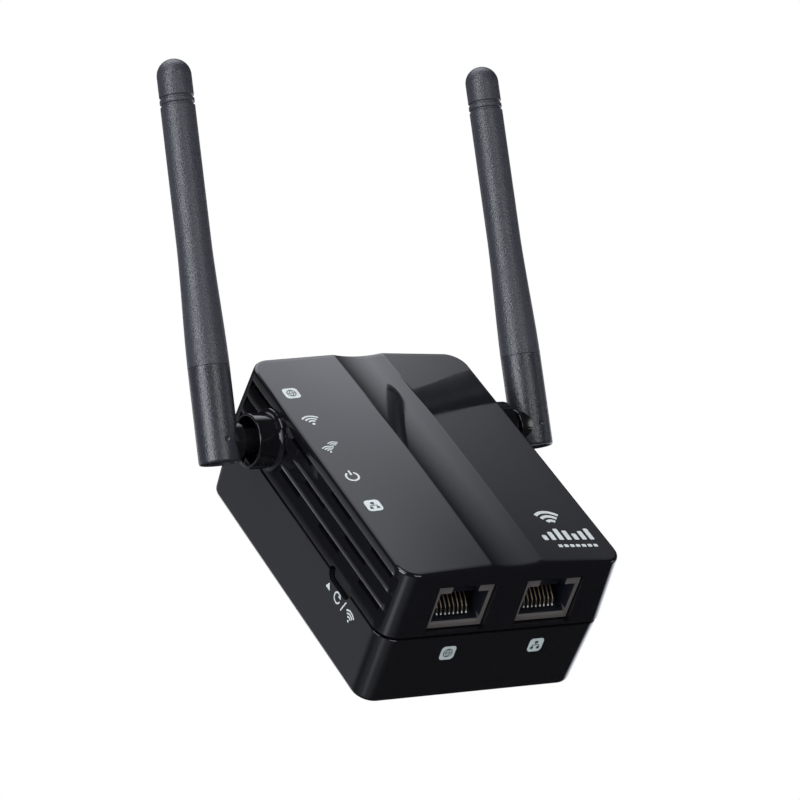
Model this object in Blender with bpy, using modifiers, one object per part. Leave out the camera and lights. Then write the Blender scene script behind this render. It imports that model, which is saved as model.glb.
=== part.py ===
# Wall-plug wifi range extender with two swivelling antennas and two network sockets.
#
# Frame: +Y points into the wall, +Z up the wall, +X to the right as seen from the room.
# The origin is midway between the two plug blades, on the flat rear face.
# All lengths are in metres.

import math

import bpy
import bmesh
from mathutils import Matrix, Vector

MM = 0.001
GAP = 0.3 * MM                     # clearance kept between pieces that touch

# Housing
HALF_WIDTH = 26.8 * MM             # at the edge of the face
HALF_LENGTH = 37.0 * MM
REAR_DEPTH = 17.2 * MM             # rear face to parting plane
FACE_DEPTH = 15.7 * MM             # parting plane to the edge of the face
PART_Y = -REAR_DEPTH
FACE_Y = PART_Y - FACE_DEPTH
FLARE = 0.6 * MM                   # the cover is wider than its face by this at the parting plane
STEP_IN = 0.2 * MM                 # the rear case is smaller than the cover by this
REAR_TAPER = 0.6 * MM
CORNER_RADIUS = 4.5 * MM
EDGE_RADIUS = 0.7 * MM
REAR_EDGE_RADIUS = 1.2 * MM
COVER_WALL = 1.6 * MM
CASE_WALL = 1.8 * MM
LIP_WALL = 0.8 * MM
CASE_HALF_X = HALF_WIDTH + FLARE - STEP_IN       # at the parting plane
CASE_HALF_Z = HALF_LENGTH + FLARE - STEP_IN
LIP_HALF_X = CASE_HALF_X - CASE_WALL + 0.1 * MM
LIP_HALF_Z = CASE_HALF_Z - CASE_WALL + 0.1 * MM
LIP_HEIGHT = 1.6 * MM

# Face: two ridges with a shallow channel between them
RIDGE_X = 6.1 * MM
RIDGE_RISE = 1.05 * MM             # at the two ends
RIDGE_BOW = 0.65 * MM              # extra rise half way along
CHANNEL_SAG = 0.65 * MM

# Vents in both sides of the cover
VENT_ROWS = (12.8 * MM, 8.7 * MM, 4.6 * MM)      # height above the parting plane
VENT_PITCH = 18.4 * MM
VENT_LENGTH = 9.0 * MM
VENT_HEIGHT = 1.3 * MM
VENT_START = -32.5 * MM
GROOVE_HEIGHT = 1.9 * MM
GROOVE_DEPTH = 0.5 * MM

# Antennas
PIVOT_X = 39.4 * MM
PIVOT_Y = PART_Y - 7.2 * MM
PIVOT_Z = 20.4 * MM
LEFT_LEAN = math.radians(44.0)     # from straight up towards the room
RIGHT_LEAN = math.radians(43.0)
ANTENNA_TOP = 81.9 * MM            # above the pivot
ANTENNA_FOOT = 4.6 * MM            # below the pivot
BASE_RADIUS = 4.42 * MM
TIP_RADIUS = 3.7 * MM
SEAM = 15.8 * MM                   # base to sleeve, above the pivot
SPIGOT_RADIUS = 2.5 * MM
SPIGOT_TOP = 24.0 * MM
SLEEVE_BORE = 2.8 * MM
SLEEVE_BORE_TOP = 76.0 * MM
NECK_RADIUS = 2.7 * MM
COLLAR_RADIUS = 4.0 * MM
NECK_END_X = 23.4 * MM
COLLAR_END_X = 34.5 * MM
COAX_RADIUS = 0.55 * MM
BOSS_RADIUS = 5.75 * MM
BOSS_BORE = 5.15 * MM
BOSS_RIM_X = 32.5 * MM
BOSS_FLOOR_X = 28.0 * MM
BEARING_RADIUS = 2.8 * MM
CLIP_X = 24.75 * MM

# Network sockets
SOCKET_X = 10.6 * MM
SOCKET_MOUTH_WIDTH = 13.9 * MM
SOCKET_MOUTH_LOW = 1.2 * MM        # above the parting plane
SOCKET_MOUTH_HIGH = 12.5 * MM
JACK_WIDTH = 15.6 * MM
JACK_LENGTH = 20.0 * MM
JACK_HEIGHT = 13.5 * MM
PLUG_WIDTH = 11.5 * MM
PLUG_LOW = 2.9 * MM                # above the parting plane
PLUG_HIGH = 10.4 * MM
LATCH_WIDTH = 6.4 * MM
PLUG_DEPTH = 13.5 * MM
CONTACT_PITCH = 1.016 * MM
CONTACT_COUNT = 8
CONTACT_TIP = (3.9 * MM, -34.6 * MM)             # height above the parting plane, and Z
CONTACT_LENGTH = 11.5 * MM
CONTACT_TILT = math.radians(25.0)
CONTACT_BAR = (7.6 * MM, 9.8 * MM)  # its low and high side above the parting plane

# Reset button on the left side, across the parting plane
BUTTON_Z = -18.3 * MM
BUTTON_LENGTH = 9.0 * MM
BUTTON_HEIGHT = 3.6 * MM
BUTTON_Y = PART_Y + 0.3 * MM

# Boards
BOARD_THICKNESS = 1.6 * MM
MAIN_BOARD_X = 23.6 * MM
MAIN_BOARD_Z = 34.4 * MM
POWER_BOARD_X = 17.4 * MM
POWER_BOARD_Z = 27.0 * MM
POWER_BOARD_Y = -6.0 * MM          # its component side
SCREW_X = 21.8 * MM
SCREW_Z = 32.4 * MM
BOARD_SCREW_X = 20.0 * MM
BOARD_SCREW_Z = (-12.0 * MM, 12.0 * MM)
LED_X = -21.6 * MM
GUIDE_TOP = FACE_DEPTH - COVER_WALL - GAP         # height of the light guide above the parting plane
LED_Z = (-14.3 * MM, -4.55 * MM, 5.35 * MM, 14.8 * MM, 24.4 * MM)

# Mains plug
BLADE_X = 6.35 * MM
BLADE_THICKNESS = 1.5 * MM
BLADE_WIDTH = 6.3 * MM
BLADE_LENGTH = 17.0 * MM
BLADE_ROOT_Y = -6.7 * MM

SIDES = {"left": -1, "right": 1}
BLACK = (0.012, 0.012, 0.014)
CHIP = (0.03, 0.03, 0.03)


def clear_scene():
    for item in list(bpy.data.objects):
        bpy.data.objects.remove(item, do_unlink=True)


def new_collection(name):
    collection = bpy.data.collections.new(name)
    bpy.context.scene.collection.children.link(collection)
    return collection


def new_material(name, colour, roughness, metallic=0.0):
    material = bpy.data.materials.new(name)
    material.use_nodes = True
    shader = material.node_tree.nodes["Principled BSDF"]
    shader.inputs["Base Color"].default_value = (*colour, 1.0)
    shader.inputs["Roughness"].default_value = roughness
    shader.inputs["Metallic"].default_value = metallic
    return material


def new_part(name, bm, colour, roughness=0.4, metallic=0.0):
    mesh = bpy.data.meshes.new(name)
    bm.to_mesh(mesh)
    bm.free()
    part = bpy.data.objects.new(name, mesh)
    mesh.materials.append(new_material(name, colour, roughness, metallic))
    parts.objects.link(part)
    return part


def new_tool(name, bm):
    mesh = bpy.data.meshes.new(name)
    bm.to_mesh(mesh)
    bm.free()
    tool = bpy.data.objects.new(name, mesh)
    tool.hide_render = True
    tool.display_type = "WIRE"
    tools.objects.link(tool)
    return tool


def combine(part, bm, name, operation):
    tool = new_tool(name, bm)
    modifier = part.modifiers.new(name, "BOOLEAN")
    modifier.operation = operation
    modifier.solver = "EXACT"
    modifier.object = tool
    return tool


def add_to(part, bm, name):
    return combine(part, bm, part.name + "_" + name, "UNION")


def cut_from(part, bm, name):
    return combine(part, bm, part.name + "_" + name, "DIFFERENCE")


def smooth(part, degrees=35.0):
    part.data.shade_smooth()
    part.data.set_sharp_from_angle(angle=math.radians(degrees))


def add_box(bm, low, high):
    low = Vector(low)
    high = Vector(high)
    place = Matrix.Translation((low + high) / 2) @ Matrix.Diagonal((*(high - low), 1.0))
    return bmesh.ops.create_cube(bm, size=1.0, matrix=place)["verts"]


def box(low, high):
    bm = bmesh.new()
    add_box(bm, low, high)
    return bm


def add_cylinder(bm, radius, start, end, sides=24, end_radius=None):
    start = Vector(start)
    axis = Vector(end) - start
    turn = Vector((0.0, 0.0, 1.0)).rotation_difference(axis).to_matrix().to_4x4()
    bmesh.ops.create_cone(
        bm, cap_ends=True, segments=sides, radius1=radius, radius2=end_radius or radius,
        depth=axis.length, matrix=Matrix.Translation(start + axis / 2) @ turn)


def cylinder(radius, start, end, sides=24, end_radius=None):
    bm = bmesh.new()
    add_cylinder(bm, radius, start, end, sides, end_radius)
    return bm


def rounded_block(half_x, half_z, low_y, high_y, corner, steps=4):
    bm = bmesh.new()
    add_box(bm, (-half_x, low_y, -half_z), (half_x, high_y, half_z))
    upright = [e for e in bm.edges if abs(e.verts[0].co.y - e.verts[1].co.y) > corner / 10]
    bmesh.ops.bevel(bm, geom=upright, offset=corner, segments=steps, profile=0.5, affect="EDGES")
    return bm


def round_rim(bm, y, radius, steps=2):
    rim = [e for e in bm.edges if all(abs(v.co.y - y) < MM / 100 for v in e.verts)]
    bmesh.ops.bevel(bm, geom=rim, offset=radius, segments=steps, profile=0.5, affect="EDGES")


def slice_mesh(bm, point, normal):
    whole = bm.verts[:] + bm.edges[:] + bm.faces[:]
    bmesh.ops.bisect_plane(bm, geom=whole, plane_co=point, plane_no=normal)


def turned(name, profile, colour, roughness, metallic=0.0, steps=24):
    # The profile is a list of (radius, height) that runs from the top down the outer side.
    bm = bmesh.new()
    points = [bm.verts.new((radius, 0.0, height)) for radius, height in profile]
    for first, second in zip(points, points[1:]):
        bm.edges.new((first, second))
    part = new_part(name, bm, colour, roughness, metallic)
    screw = part.modifiers.new("turn", "SCREW")
    screw.axis = "Z"
    screw.steps = steps
    screw.render_steps = steps
    screw.use_merge_vertices = True
    screw.merge_threshold = 0.00001
    return part


def wire(name, points, radius, colour, roughness=0.5, metallic=0.0):
    curve = bpy.data.curves.new(name, "CURVE")
    curve.dimensions = "3D"
    curve.bevel_depth = radius
    curve.bevel_resolution = 1
    curve.use_fill_caps = True
    spline = curve.splines.new("POLY")
    spline.points.add(len(points) - 1)
    for point, place in zip(spline.points, points):
        point.co = (*place, 1.0)
    curve.materials.append(new_material(name, colour, roughness, metallic))
    part = bpy.data.objects.new(name, curve)
    parts.objects.link(part)
    return part


def bend(corner, towards_start, towards_end, radius, steps=4):
    # Points of a quarter bend between two perpendicular directions that meet at the corner.
    corner = Vector(corner)
    first = Vector(towards_start)
    second = Vector(towards_end)
    centre = corner + (first + second) * radius
    angles = [math.pi / 2 * step / steps for step in range(steps + 1)]
    return [centre - second * radius * math.cos(a) - first * radius * math.sin(a) for a in angles]


def above(height):
    # Y of a height above the parting plane, towards the face.
    return PART_Y - height


def roof_rise(x, z):
    # How far the face stands above its own edge.
    ridge = RIDGE_RISE + RIDGE_BOW * (1.0 - (z / HALF_LENGTH) ** 2)
    if abs(x) < RIDGE_X:
        return ridge - CHANNEL_SAG * (1.0 - (x / RIDGE_X) ** 2)
    return ridge * (HALF_WIDTH - abs(x)) / (HALF_WIDTH - RIDGE_X)


def cover_body(inset, open_y):
    # The cover's solid form, or the form of its inside when it is inset by the wall.
    top_y = FACE_Y + inset
    bm = rounded_block(HALF_WIDTH - inset, HALF_LENGTH - inset, top_y, open_y, CORNER_RADIUS - inset, 5)
    if inset == 0.0:
        round_rim(bm, top_y, EDGE_RADIUS)
    for step in range(-4, 5):
        slice_mesh(bm, (RIDGE_X * step / 4, 0.0, 0.0), (1.0, 0.0, 0.0))
    for step in range(-3, 4):
        slice_mesh(bm, (0.0, 0.0, HALF_LENGTH * step / 4), (0.0, 0.0, 1.0))
    for vertex in bm.verts:
        spread = FLARE * (1.0 - (PART_Y - vertex.co.y) / FACE_DEPTH)
        if vertex.co.y < top_y + EDGE_RADIUS * 1.1:
            vertex.co.y -= roof_rise(vertex.co.x, vertex.co.z)
        vertex.co.x *= 1.0 + spread / HALF_WIDTH
        vertex.co.z *= 1.0 + spread / HALF_LENGTH
    return bm


def build_front_cover():
    cover = new_part("front_cover", cover_body(0.0, PART_Y - GAP / 2), BLACK, 0.08)
    cut_from(cover, cover_body(COVER_WALL, PART_Y + 2 * MM), "inside")
    cut_vents(cover)
    add_cover_posts(cover)
    add_antenna_bosses(cover)
    bm = bmesh.new()
    for side in SIDES.values():
        centre = side * SOCKET_X
        add_box(bm, (centre - SOCKET_MOUTH_WIDTH / 2, above(SOCKET_MOUTH_HIGH), -HALF_LENGTH - 2 * MM),
                (centre + SOCKET_MOUTH_WIDTH / 2, above(SOCKET_MOUTH_LOW), -HALF_LENGTH + 3 * MM))
    cut_from(cover, bm, "socket_mouths")
    cut_from(cover, button_hole(), "button_hole")
    smooth(cover)


def cut_vents(cover):
    slots = bmesh.new()
    grooves = bmesh.new()
    for side in SIDES.values():
        inner = side * (HALF_WIDTH - 3 * MM)
        outer = side * (HALF_WIDTH + 3 * MM)
        for row, height in enumerate(VENT_ROWS):
            shift = VENT_PITCH / 2 if row == 1 else 0.0
            count = 3 if row == 1 else 4
            for index in range(count):
                start = VENT_START + shift + index * VENT_PITCH
                low = (min(inner, outer), above(height + VENT_HEIGHT / 2), start)
                high = (max(inner, outer), above(height - VENT_HEIGHT / 2), start + VENT_LENGTH)
                add_box(slots, low, high)
            wall = HALF_WIDTH + FLARE * (1.0 - height / FACE_DEPTH)
            floor = side * (wall - GROOVE_DEPTH)
            low = (min(floor, outer), above(height + GROOVE_HEIGHT / 2), -HALF_LENGTH + 2.2 * MM)
            high = (max(floor, outer), above(height - GROOVE_HEIGHT / 2), HALF_LENGTH - 4 * MM)
            add_box(grooves, low, high)
    cut_from(cover, grooves, "grooves")
    cut_from(cover, slots, "vents")


def add_cover_posts(cover):
    posts = bmesh.new()
    holes = bmesh.new()
    top = above(FACE_DEPTH - COVER_WALL + 0.5 * MM)
    for x in (-SCREW_X, SCREW_X):
        for z in (-SCREW_Z, SCREW_Z):
            add_cylinder(posts, 2.3 * MM, (x, PART_Y - GAP, z), (x, top, z), 16)
            add_cylinder(holes, 1.15 * MM, (x, PART_Y + 1 * MM, z), (x, PART_Y - 8 * MM, z), 12)
    add_to(cover, posts, "posts")
    cut_from(cover, holes, "post_holes")


def add_antenna_bosses(cover):
    bosses = bmesh.new()
    cups = bmesh.new()
    bearings = bmesh.new()
    stops = bmesh.new()
    for side in SIDES.values():
        def at(x):
            return (side * x, PIVOT_Y, PIVOT_Z)
        add_cylinder(bosses, BOSS_RADIUS, at(26.0 * MM), at(BOSS_RIM_X), 32)
        add_cylinder(cups, BOSS_BORE, at(BOSS_FLOOR_X), at(BOSS_RIM_X + 2 * MM), 32)
        add_cylinder(bearings, BEARING_RADIUS, at(24.0 * MM), at(BOSS_RIM_X + 2 * MM), 24)
        ends = sorted((side * (BOSS_FLOOR_X - 0.5 * MM), side * (BOSS_RIM_X - 0.6 * MM)))
        add_box(stops, (ends[0], PIVOT_Y + 3.9 * MM, PIVOT_Z - 3.2 * MM),
                (ends[1], PIVOT_Y + 5.2 * MM, PIVOT_Z - 0.4 * MM))
    add_to(cover, bosses, "bosses")
    cut_from(cover, cups, "cups")
    add_to(cover, stops, "stops")
    cut_from(cover, bearings, "bearings")


def pill(half_length, half_height, x0, x1):
    # A stadium along Z, standing along X between x0 and x1.
    bm = bmesh.new()
    add_box(bm, (x0, BUTTON_Y - half_height, BUTTON_Z - half_length),
            (x1, BUTTON_Y + half_height, BUTTON_Z + half_length))
    edges = [e for e in bm.edges if abs(e.verts[0].co.x - e.verts[1].co.x) > MM / 10]
    bmesh.ops.bevel(bm, geom=edges, offset=half_height * 0.98, segments=5, profile=0.5, affect="EDGES")
    return bm


def button_hole():
    return pill(BUTTON_LENGTH / 2, BUTTON_HEIGHT / 2, -HALF_WIDTH - 3 * MM, -HALF_WIDTH + 3 * MM)


def case_body(inset, open_y):
    # The rear case's solid form, or the form of its inside when it is inset by the wall.
    bm = rounded_block(CASE_HALF_X - inset, CASE_HALF_Z - inset, open_y, -inset, CORNER_RADIUS - inset, 5)
    if inset == 0.0:
        round_rim(bm, 0.0, REAR_EDGE_RADIUS)
    for vertex in bm.verts:
        taper = REAR_TAPER * (1.0 + vertex.co.y / REAR_DEPTH)
        vertex.co.x *= 1.0 - taper / CASE_HALF_X
        vertex.co.z *= 1.0 - taper / CASE_HALF_Z
    return bm


def build_rear_case():
    case = new_part("rear_case", case_body(0.0, PART_Y + GAP / 2), BLACK, 0.12)
    cut_from(case, case_body(CASE_WALL, PART_Y - 2 * MM), "inside")
    lip = rounded_block(LIP_HALF_X, LIP_HALF_Z, PART_Y - LIP_HEIGHT, PART_Y + 2.5 * MM,
                        CORNER_RADIUS - CASE_WALL)
    lip_tool = add_to(case, lip, "lip")
    inner = rounded_block(LIP_HALF_X - LIP_WALL, LIP_HALF_Z - LIP_WALL, PART_Y - 2 * LIP_HEIGHT,
                          PART_Y + 4 * MM, CORNER_RADIUS - CASE_WALL - LIP_WALL)
    cut_from(lip_tool, inner, "inside")
    add_case_posts(case)
    relief = bmesh.new()
    top_y = PART_Y - 2 * LIP_HEIGHT
    add_box(relief, (-19.2 * MM, top_y, -CASE_HALF_Z), (19.2 * MM, PART_Y + GAP / 2, -CASE_HALF_Z + 4 * MM))
    add_box(relief, (-LIP_HALF_X - MM / 2, top_y, BUTTON_Z - BUTTON_LENGTH * 0.75),
            (-LIP_HALF_X + 2 * MM, PART_Y + 3.4 * MM, BUTTON_Z + BUTTON_LENGTH * 0.75))
    cut_from(case, relief, "lip_relief")
    blades = bmesh.new()
    for x in (-BLADE_X, BLADE_X):
        half = (BLADE_THICKNESS / 2 + GAP, BLADE_WIDTH / 2 + GAP)
        add_box(blades, (x - half[0], -3 * MM, -half[1]), (x + half[0], 2 * MM, half[1]))
    cut_from(case, blades, "blade_slots")
    cut_from(case, button_hole(), "button_hole")
    smooth(case)


def add_case_posts(case):
    posts = bmesh.new()
    holes = bmesh.new()
    heads = bmesh.new()
    for x in (-SCREW_X, SCREW_X):
        for z in (-SCREW_Z, SCREW_Z):
            add_cylinder(posts, 3.0 * MM, (x, -1.0 * MM, z), (x, PART_Y + GAP, z), 16)
            add_cylinder(holes, 1.25 * MM, (x, 1 * MM, z), (x, PART_Y - 2 * MM, z), 12)
            add_cylinder(heads, 2.1 * MM, (x, 1 * MM, z), (x, -9.0 * MM, z), 16)
    for x in (-BOARD_SCREW_X, BOARD_SCREW_X):
        for z in BOARD_SCREW_Z:
            top = PART_Y + BOARD_THICKNESS + GAP
            add_cylinder(posts, 1.9 * MM, (x, -1.0 * MM, z), (x, top, z), 12)
            add_cylinder(holes, 0.95 * MM, (x, top + 6 * MM, z), (x, top - MM, z), 10)
    for x in (-POWER_BOARD_X + 2 * MM, POWER_BOARD_X - 2 * MM):
        for z in (-POWER_BOARD_Z + 2.5 * MM, POWER_BOARD_Z - 2.5 * MM):
            top = POWER_BOARD_Y + BOARD_THICKNESS + GAP
            add_cylinder(posts, 1.5 * MM, (x, -1.0 * MM, z), (x, top, z), 10)
    add_to(case, posts, "posts")
    cut_from(case, holes, "post_holes")
    cut_from(case, heads, "head_wells")


def build_screws():
    for number, (x, z) in enumerate([(-1, -1), (1, -1), (-1, 1), (1, 1)], 1):
        screw(f"case_screw_{number}", (x * SCREW_X, z * SCREW_Z), -9.0 * MM + GAP, 13.5 * MM, 0.85 * MM,
              1.75 * MM, -1.0)
    places = [(-1, 0), (1, 0), (-1, 1), (1, 1)]
    for number, (side, index) in enumerate(places, 1):
        place = (side * BOARD_SCREW_X, BOARD_SCREW_Z[index])
        screw(f"board_screw_{number}", place, PART_Y - GAP, 5.0 * MM, 0.6 * MM, 1.5 * MM, 1.0)


def screw(name, place, seat_y, length, radius, head_radius, direction):
    # The head's underside is at seat_y, and the shank runs from it along Y in the given direction.
    x, z = place
    head = -direction * 1.2 * MM
    bm = cylinder(radius, (x, seat_y + head / 2, z), (x, seat_y + direction * length, z), 10, radius * 0.8)
    part = new_part(name, bm, (0.55, 0.55, 0.56), 0.3, 1.0)
    add_to(part, cylinder(head_radius, (x, seat_y, z), (x, seat_y + head, z), 14), "head")
    cross = bmesh.new()
    arm = head_radius * 0.6
    depth = sorted((seat_y + head * 1.3, seat_y + head * 0.35))
    add_box(cross, (x - arm, depth[0], z - 0.2 * MM), (x + arm, depth[1], z + 0.2 * MM))
    cut_from(part, cross, "slot")


def build_plug():
    for name, x in (("plug_blade_left", -BLADE_X), ("plug_blade_right", BLADE_X)):
        bm = box((x - BLADE_THICKNESS / 2, BLADE_ROOT_Y, -BLADE_WIDTH / 2),
                 (x + BLADE_THICKNESS / 2, BLADE_LENGTH, BLADE_WIDTH / 2))
        tip = [e for e in bm.edges if all(v.co.y > BLADE_LENGTH - MM / 10 for v in e.verts)]
        bmesh.ops.bevel(bm, geom=tip, offset=0.55 * MM, segments=2, profile=0.5, affect="EDGES")
        blade = new_part(name, bm, (0.72, 0.6, 0.34), 0.25, 1.0)
        hole_y = 11.7 * MM
        cut_from(blade, cylinder(1.6 * MM, (x - 2 * MM, hole_y, 0), (x + 2 * MM, hole_y, 0), 16), "hole")
    holder = new_part("blade_holder", box((-11 * MM, POWER_BOARD_Y + BOARD_THICKNESS + GAP, -6 * MM),
                                          (11 * MM, -CASE_WALL - GAP, 6 * MM)), (0.75, 0.74, 0.7), 0.5)
    slots = bmesh.new()
    for x in (-BLADE_X, BLADE_X):
        add_box(slots, (x - BLADE_THICKNESS / 2 - GAP, -8 * MM, -BLADE_WIDTH / 2 - GAP),
                (x + BLADE_THICKNESS / 2 + GAP, 0.0, BLADE_WIDTH / 2 + GAP))
    cut_from(holder, slots, "slots")


def build_boards():
    main = new_part("main_board", box((-MAIN_BOARD_X, PART_Y, -MAIN_BOARD_Z),
                                      (MAIN_BOARD_X, PART_Y + BOARD_THICKNESS, MAIN_BOARD_Z)),
                    (0.02, 0.16, 0.06), 0.35)
    notches = bmesh.new()
    for x in (-1, 1):
        for z in (-1, 1):
            add_cylinder(notches, 3.3 * MM, (x * SCREW_X, PART_Y - 2 * MM, z * SCREW_Z),
                         (x * SCREW_X, PART_Y + 4 * MM, z * SCREW_Z), 20)
        for z in BOARD_SCREW_Z:
            add_cylinder(notches, 0.95 * MM, (x * BOARD_SCREW_X, PART_Y - 2 * MM, z),
                         (x * BOARD_SCREW_X, PART_Y + 4 * MM, z), 12)
    cut_from(main, notches, "notches")
    power = new_part("power_board", box((-POWER_BOARD_X, POWER_BOARD_Y, -POWER_BOARD_Z),
                                        (POWER_BOARD_X, POWER_BOARD_Y + BOARD_THICKNESS, POWER_BOARD_Z)),
                     (0.3, 0.2, 0.08), 0.5)
    slots = bmesh.new()
    for x in (-BLADE_X, BLADE_X):
        add_box(slots, (x - BLADE_THICKNESS / 2 - GAP, -8 * MM, -BLADE_WIDTH / 2 - GAP),
                (x + BLADE_THICKNESS / 2 + GAP, 0.0, BLADE_WIDTH / 2 + GAP))
    cut_from(power, slots, "blade_slots")


def on_main_board(name, centre, size, colour, roughness=0.5, metallic=0.0, corner=0.0):
    # A block on the front side of the main board; size is (x, height, z).
    x, z = centre
    low = (x - size[0] / 2, PART_Y - GAP - size[1], z - size[2] / 2)
    high = (x + size[0] / 2, PART_Y - GAP, z + size[2] / 2)
    bm = box(low, high)
    if corner:
        bmesh.ops.bevel(bm, geom=bm.edges[:], offset=corner, segments=1, profile=0.5, affect="EDGES")
    return new_part(name, bm, colour, roughness, metallic)


def build_main_board_components():
    on_main_board("shield_can", (4 * MM, 15 * MM), (18 * MM, 2.6 * MM, 20 * MM), (0.7, 0.7, 0.7), 0.3, 1.0,
                  0.3 * MM)
    on_main_board("processor", (0.0, -2 * MM), (9 * MM, 1.0 * MM, 9 * MM), CHIP, 0.5)
    on_main_board("memory_chip", (-13 * MM, -3 * MM), (5.2 * MM, 1.6 * MM, 5.3 * MM), CHIP)
    on_main_board("crystal", (11 * MM, -3 * MM), (3.2 * MM, 0.9 * MM, 5 * MM), (0.75, 0.75, 0.72), 0.25, 1.0,
                  0.2 * MM)
    on_main_board("line_transformer", (0.0, -11.5 * MM), (16 * MM, 4.0 * MM, 6.5 * MM), CHIP)
    for number, z in enumerate(LED_Z, 1):
        on_main_board(f"status_led_{number}", (LED_X, z), (1.6 * MM, 0.9 * MM, 2.0 * MM), (0.85, 0.85, 0.75),
                      0.2, 0.0, 0.15 * MM)
    bar = box((LED_X - 1.6 * MM, above(GUIDE_TOP), LED_Z[0] - 1.8 * MM),
              (LED_X + 1.6 * MM, above(GUIDE_TOP - 1.2 * MM), LED_Z[-1] + 1.8 * MM))
    guide = new_part("light_guide", bar, (0.9, 0.92, 0.95), 0.1)
    pipes = bmesh.new()
    for z in LED_Z:
        end = (LED_X, above(GUIDE_TOP - 0.7 * MM), z)
        add_cylinder(pipes, 1.1 * MM, (LED_X, above(1.6 * MM), z), end, 12)
    add_to(guide, pipes, "pipes")


def on_power_board(name, centre, size, colour, roughness=0.5, metallic=0.0):
    x, z = centre
    low = (x - size[0] / 2, POWER_BOARD_Y - GAP - size[1], z - size[2] / 2)
    high = (x + size[0] / 2, POWER_BOARD_Y - GAP, z + size[2] / 2)
    return new_part(name, box(low, high), colour, roughness, metallic)


def build_power_board_components():
    deck = POWER_BOARD_Y - GAP
    core = on_power_board("transformer_core", (7 * MM, 15 * MM), (14 * MM, 8.6 * MM, 5 * MM),
                          (0.05, 0.05, 0.055), 0.6)
    window_low = (7 * MM - 5.2 * MM, deck - 7.0 * MM, 10 * MM)
    window_high = (7 * MM + 5.2 * MM, deck - 1.6 * MM, 20 * MM)
    cut_from(core, box(window_low, window_high), "window")
    winding = box((7 * MM - 4.9 * MM, deck - 6.7 * MM, 9.4 * MM),
                  (7 * MM + 4.9 * MM, deck - 1.9 * MM, 20.6 * MM))
    bmesh.ops.bevel(winding, geom=winding.edges[:], offset=0.8 * MM, segments=2, profile=0.5,
                    affect="EDGES")
    new_part("transformer_winding", winding, (0.75, 0.62, 0.1), 0.45)
    capacitor("input_capacitor", (-9 * MM, 8 * MM), 4.1 * MM, 13 * MM, (0.03, 0.04, 0.12))
    capacitor("output_capacitor", (12 * MM, -21 * MM), 3.2 * MM, 11 * MM, (0.03, 0.04, 0.12))
    on_power_board("bridge_rectifier", (-11 * MM, -9 * MM), (6.5 * MM, 2.6 * MM, 5 * MM), CHIP)
    on_power_board("power_controller", (2 * MM, -17 * MM), (4 * MM, 1.6 * MM, 5 * MM), CHIP)
    fuse = cylinder(1.5 * MM, (-14 * MM, deck - 1.9 * MM, -18 * MM),
                    (-7 * MM, deck - 1.9 * MM, -18 * MM), 14)
    new_part("fuse_resistor", fuse, (0.35, 0.5, 0.42), 0.5)
    disc = cylinder(3.8 * MM, (1 * MM, deck - 4.0 * MM, -8.6 * MM), (1 * MM, deck - 4.0 * MM, -6.2 * MM), 20)
    rim = [e for e in disc.edges if len(e.link_faces[0].verts) != len(e.link_faces[1].verts)]
    bmesh.ops.bevel(disc, geom=rim, offset=0.6 * MM, segments=2, profile=0.5, affect="EDGES")
    new_part("safety_capacitor", disc, (0.05, 0.2, 0.5), 0.4)
    header_block = box((-14 * MM, deck - 2.5 * MM, 22 * MM), (-4 * MM, deck, 24.5 * MM))
    header = new_part("board_link_header", header_block, CHIP, 0.5)
    pins = bmesh.new()
    for index in range(4):
        x = -12.8 * MM + index * 2.54 * MM
        top = PART_Y + BOARD_THICKNESS + GAP
        add_box(pins, (x - 0.32 * MM, top, 22.93 * MM), (x + 0.32 * MM, deck - 1.0 * MM, 23.57 * MM))
    add_to(header, pins, "pins")


def capacitor(name, start, radius, length, colour):
    x, z = start
    y = POWER_BOARD_Y - GAP - radius
    can = new_part(name, cylinder(radius, (x, y, z), (x, y, z + length), 20), colour, 0.3)
    well = cylinder(radius * 0.7, (x, y, z + length - 0.25 * MM), (x, y, z + length + MM), 16)
    cut_from(can, well, "end_well")


def build_sockets():
    for name, side in SIDES.items():
        build_jack("ethernet_jack_" + name, side * SOCKET_X)
        build_contacts("jack_contacts_" + name, side * SOCKET_X)


def build_jack(name, x):
    front = -HALF_LENGTH + 0.5 * MM
    body_front = -HALF_LENGTH + COVER_WALL + GAP
    jack = new_part(name, box((x - JACK_WIDTH / 2, above(GAP + JACK_HEIGHT), body_front),
                              (x + JACK_WIDTH / 2, above(GAP), body_front + JACK_LENGTH)),
                    (0.13, 0.115, 0.105), 0.45)
    half = SOCKET_MOUTH_WIDTH / 2 - GAP
    nose = box((x - half, above(SOCKET_MOUTH_HIGH - GAP), front),
               (x + half, above(SOCKET_MOUTH_LOW + GAP), body_front + 2 * MM))
    add_to(jack, nose, "nose")
    cavity = box((x - PLUG_WIDTH / 2, above(PLUG_HIGH), front - MM),
                 (x + PLUG_WIDTH / 2, above(PLUG_LOW), front + PLUG_DEPTH))
    cut_from(jack, cavity, "cavity")
    latch = box((x - LATCH_WIDTH / 2, above(SOCKET_MOUTH_HIGH + 0.4 * MM), front - MM),
                (x + LATCH_WIDTH / 2, above(PLUG_HIGH - MM), front + PLUG_DEPTH))
    cut_from(jack, latch, "latch")


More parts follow.
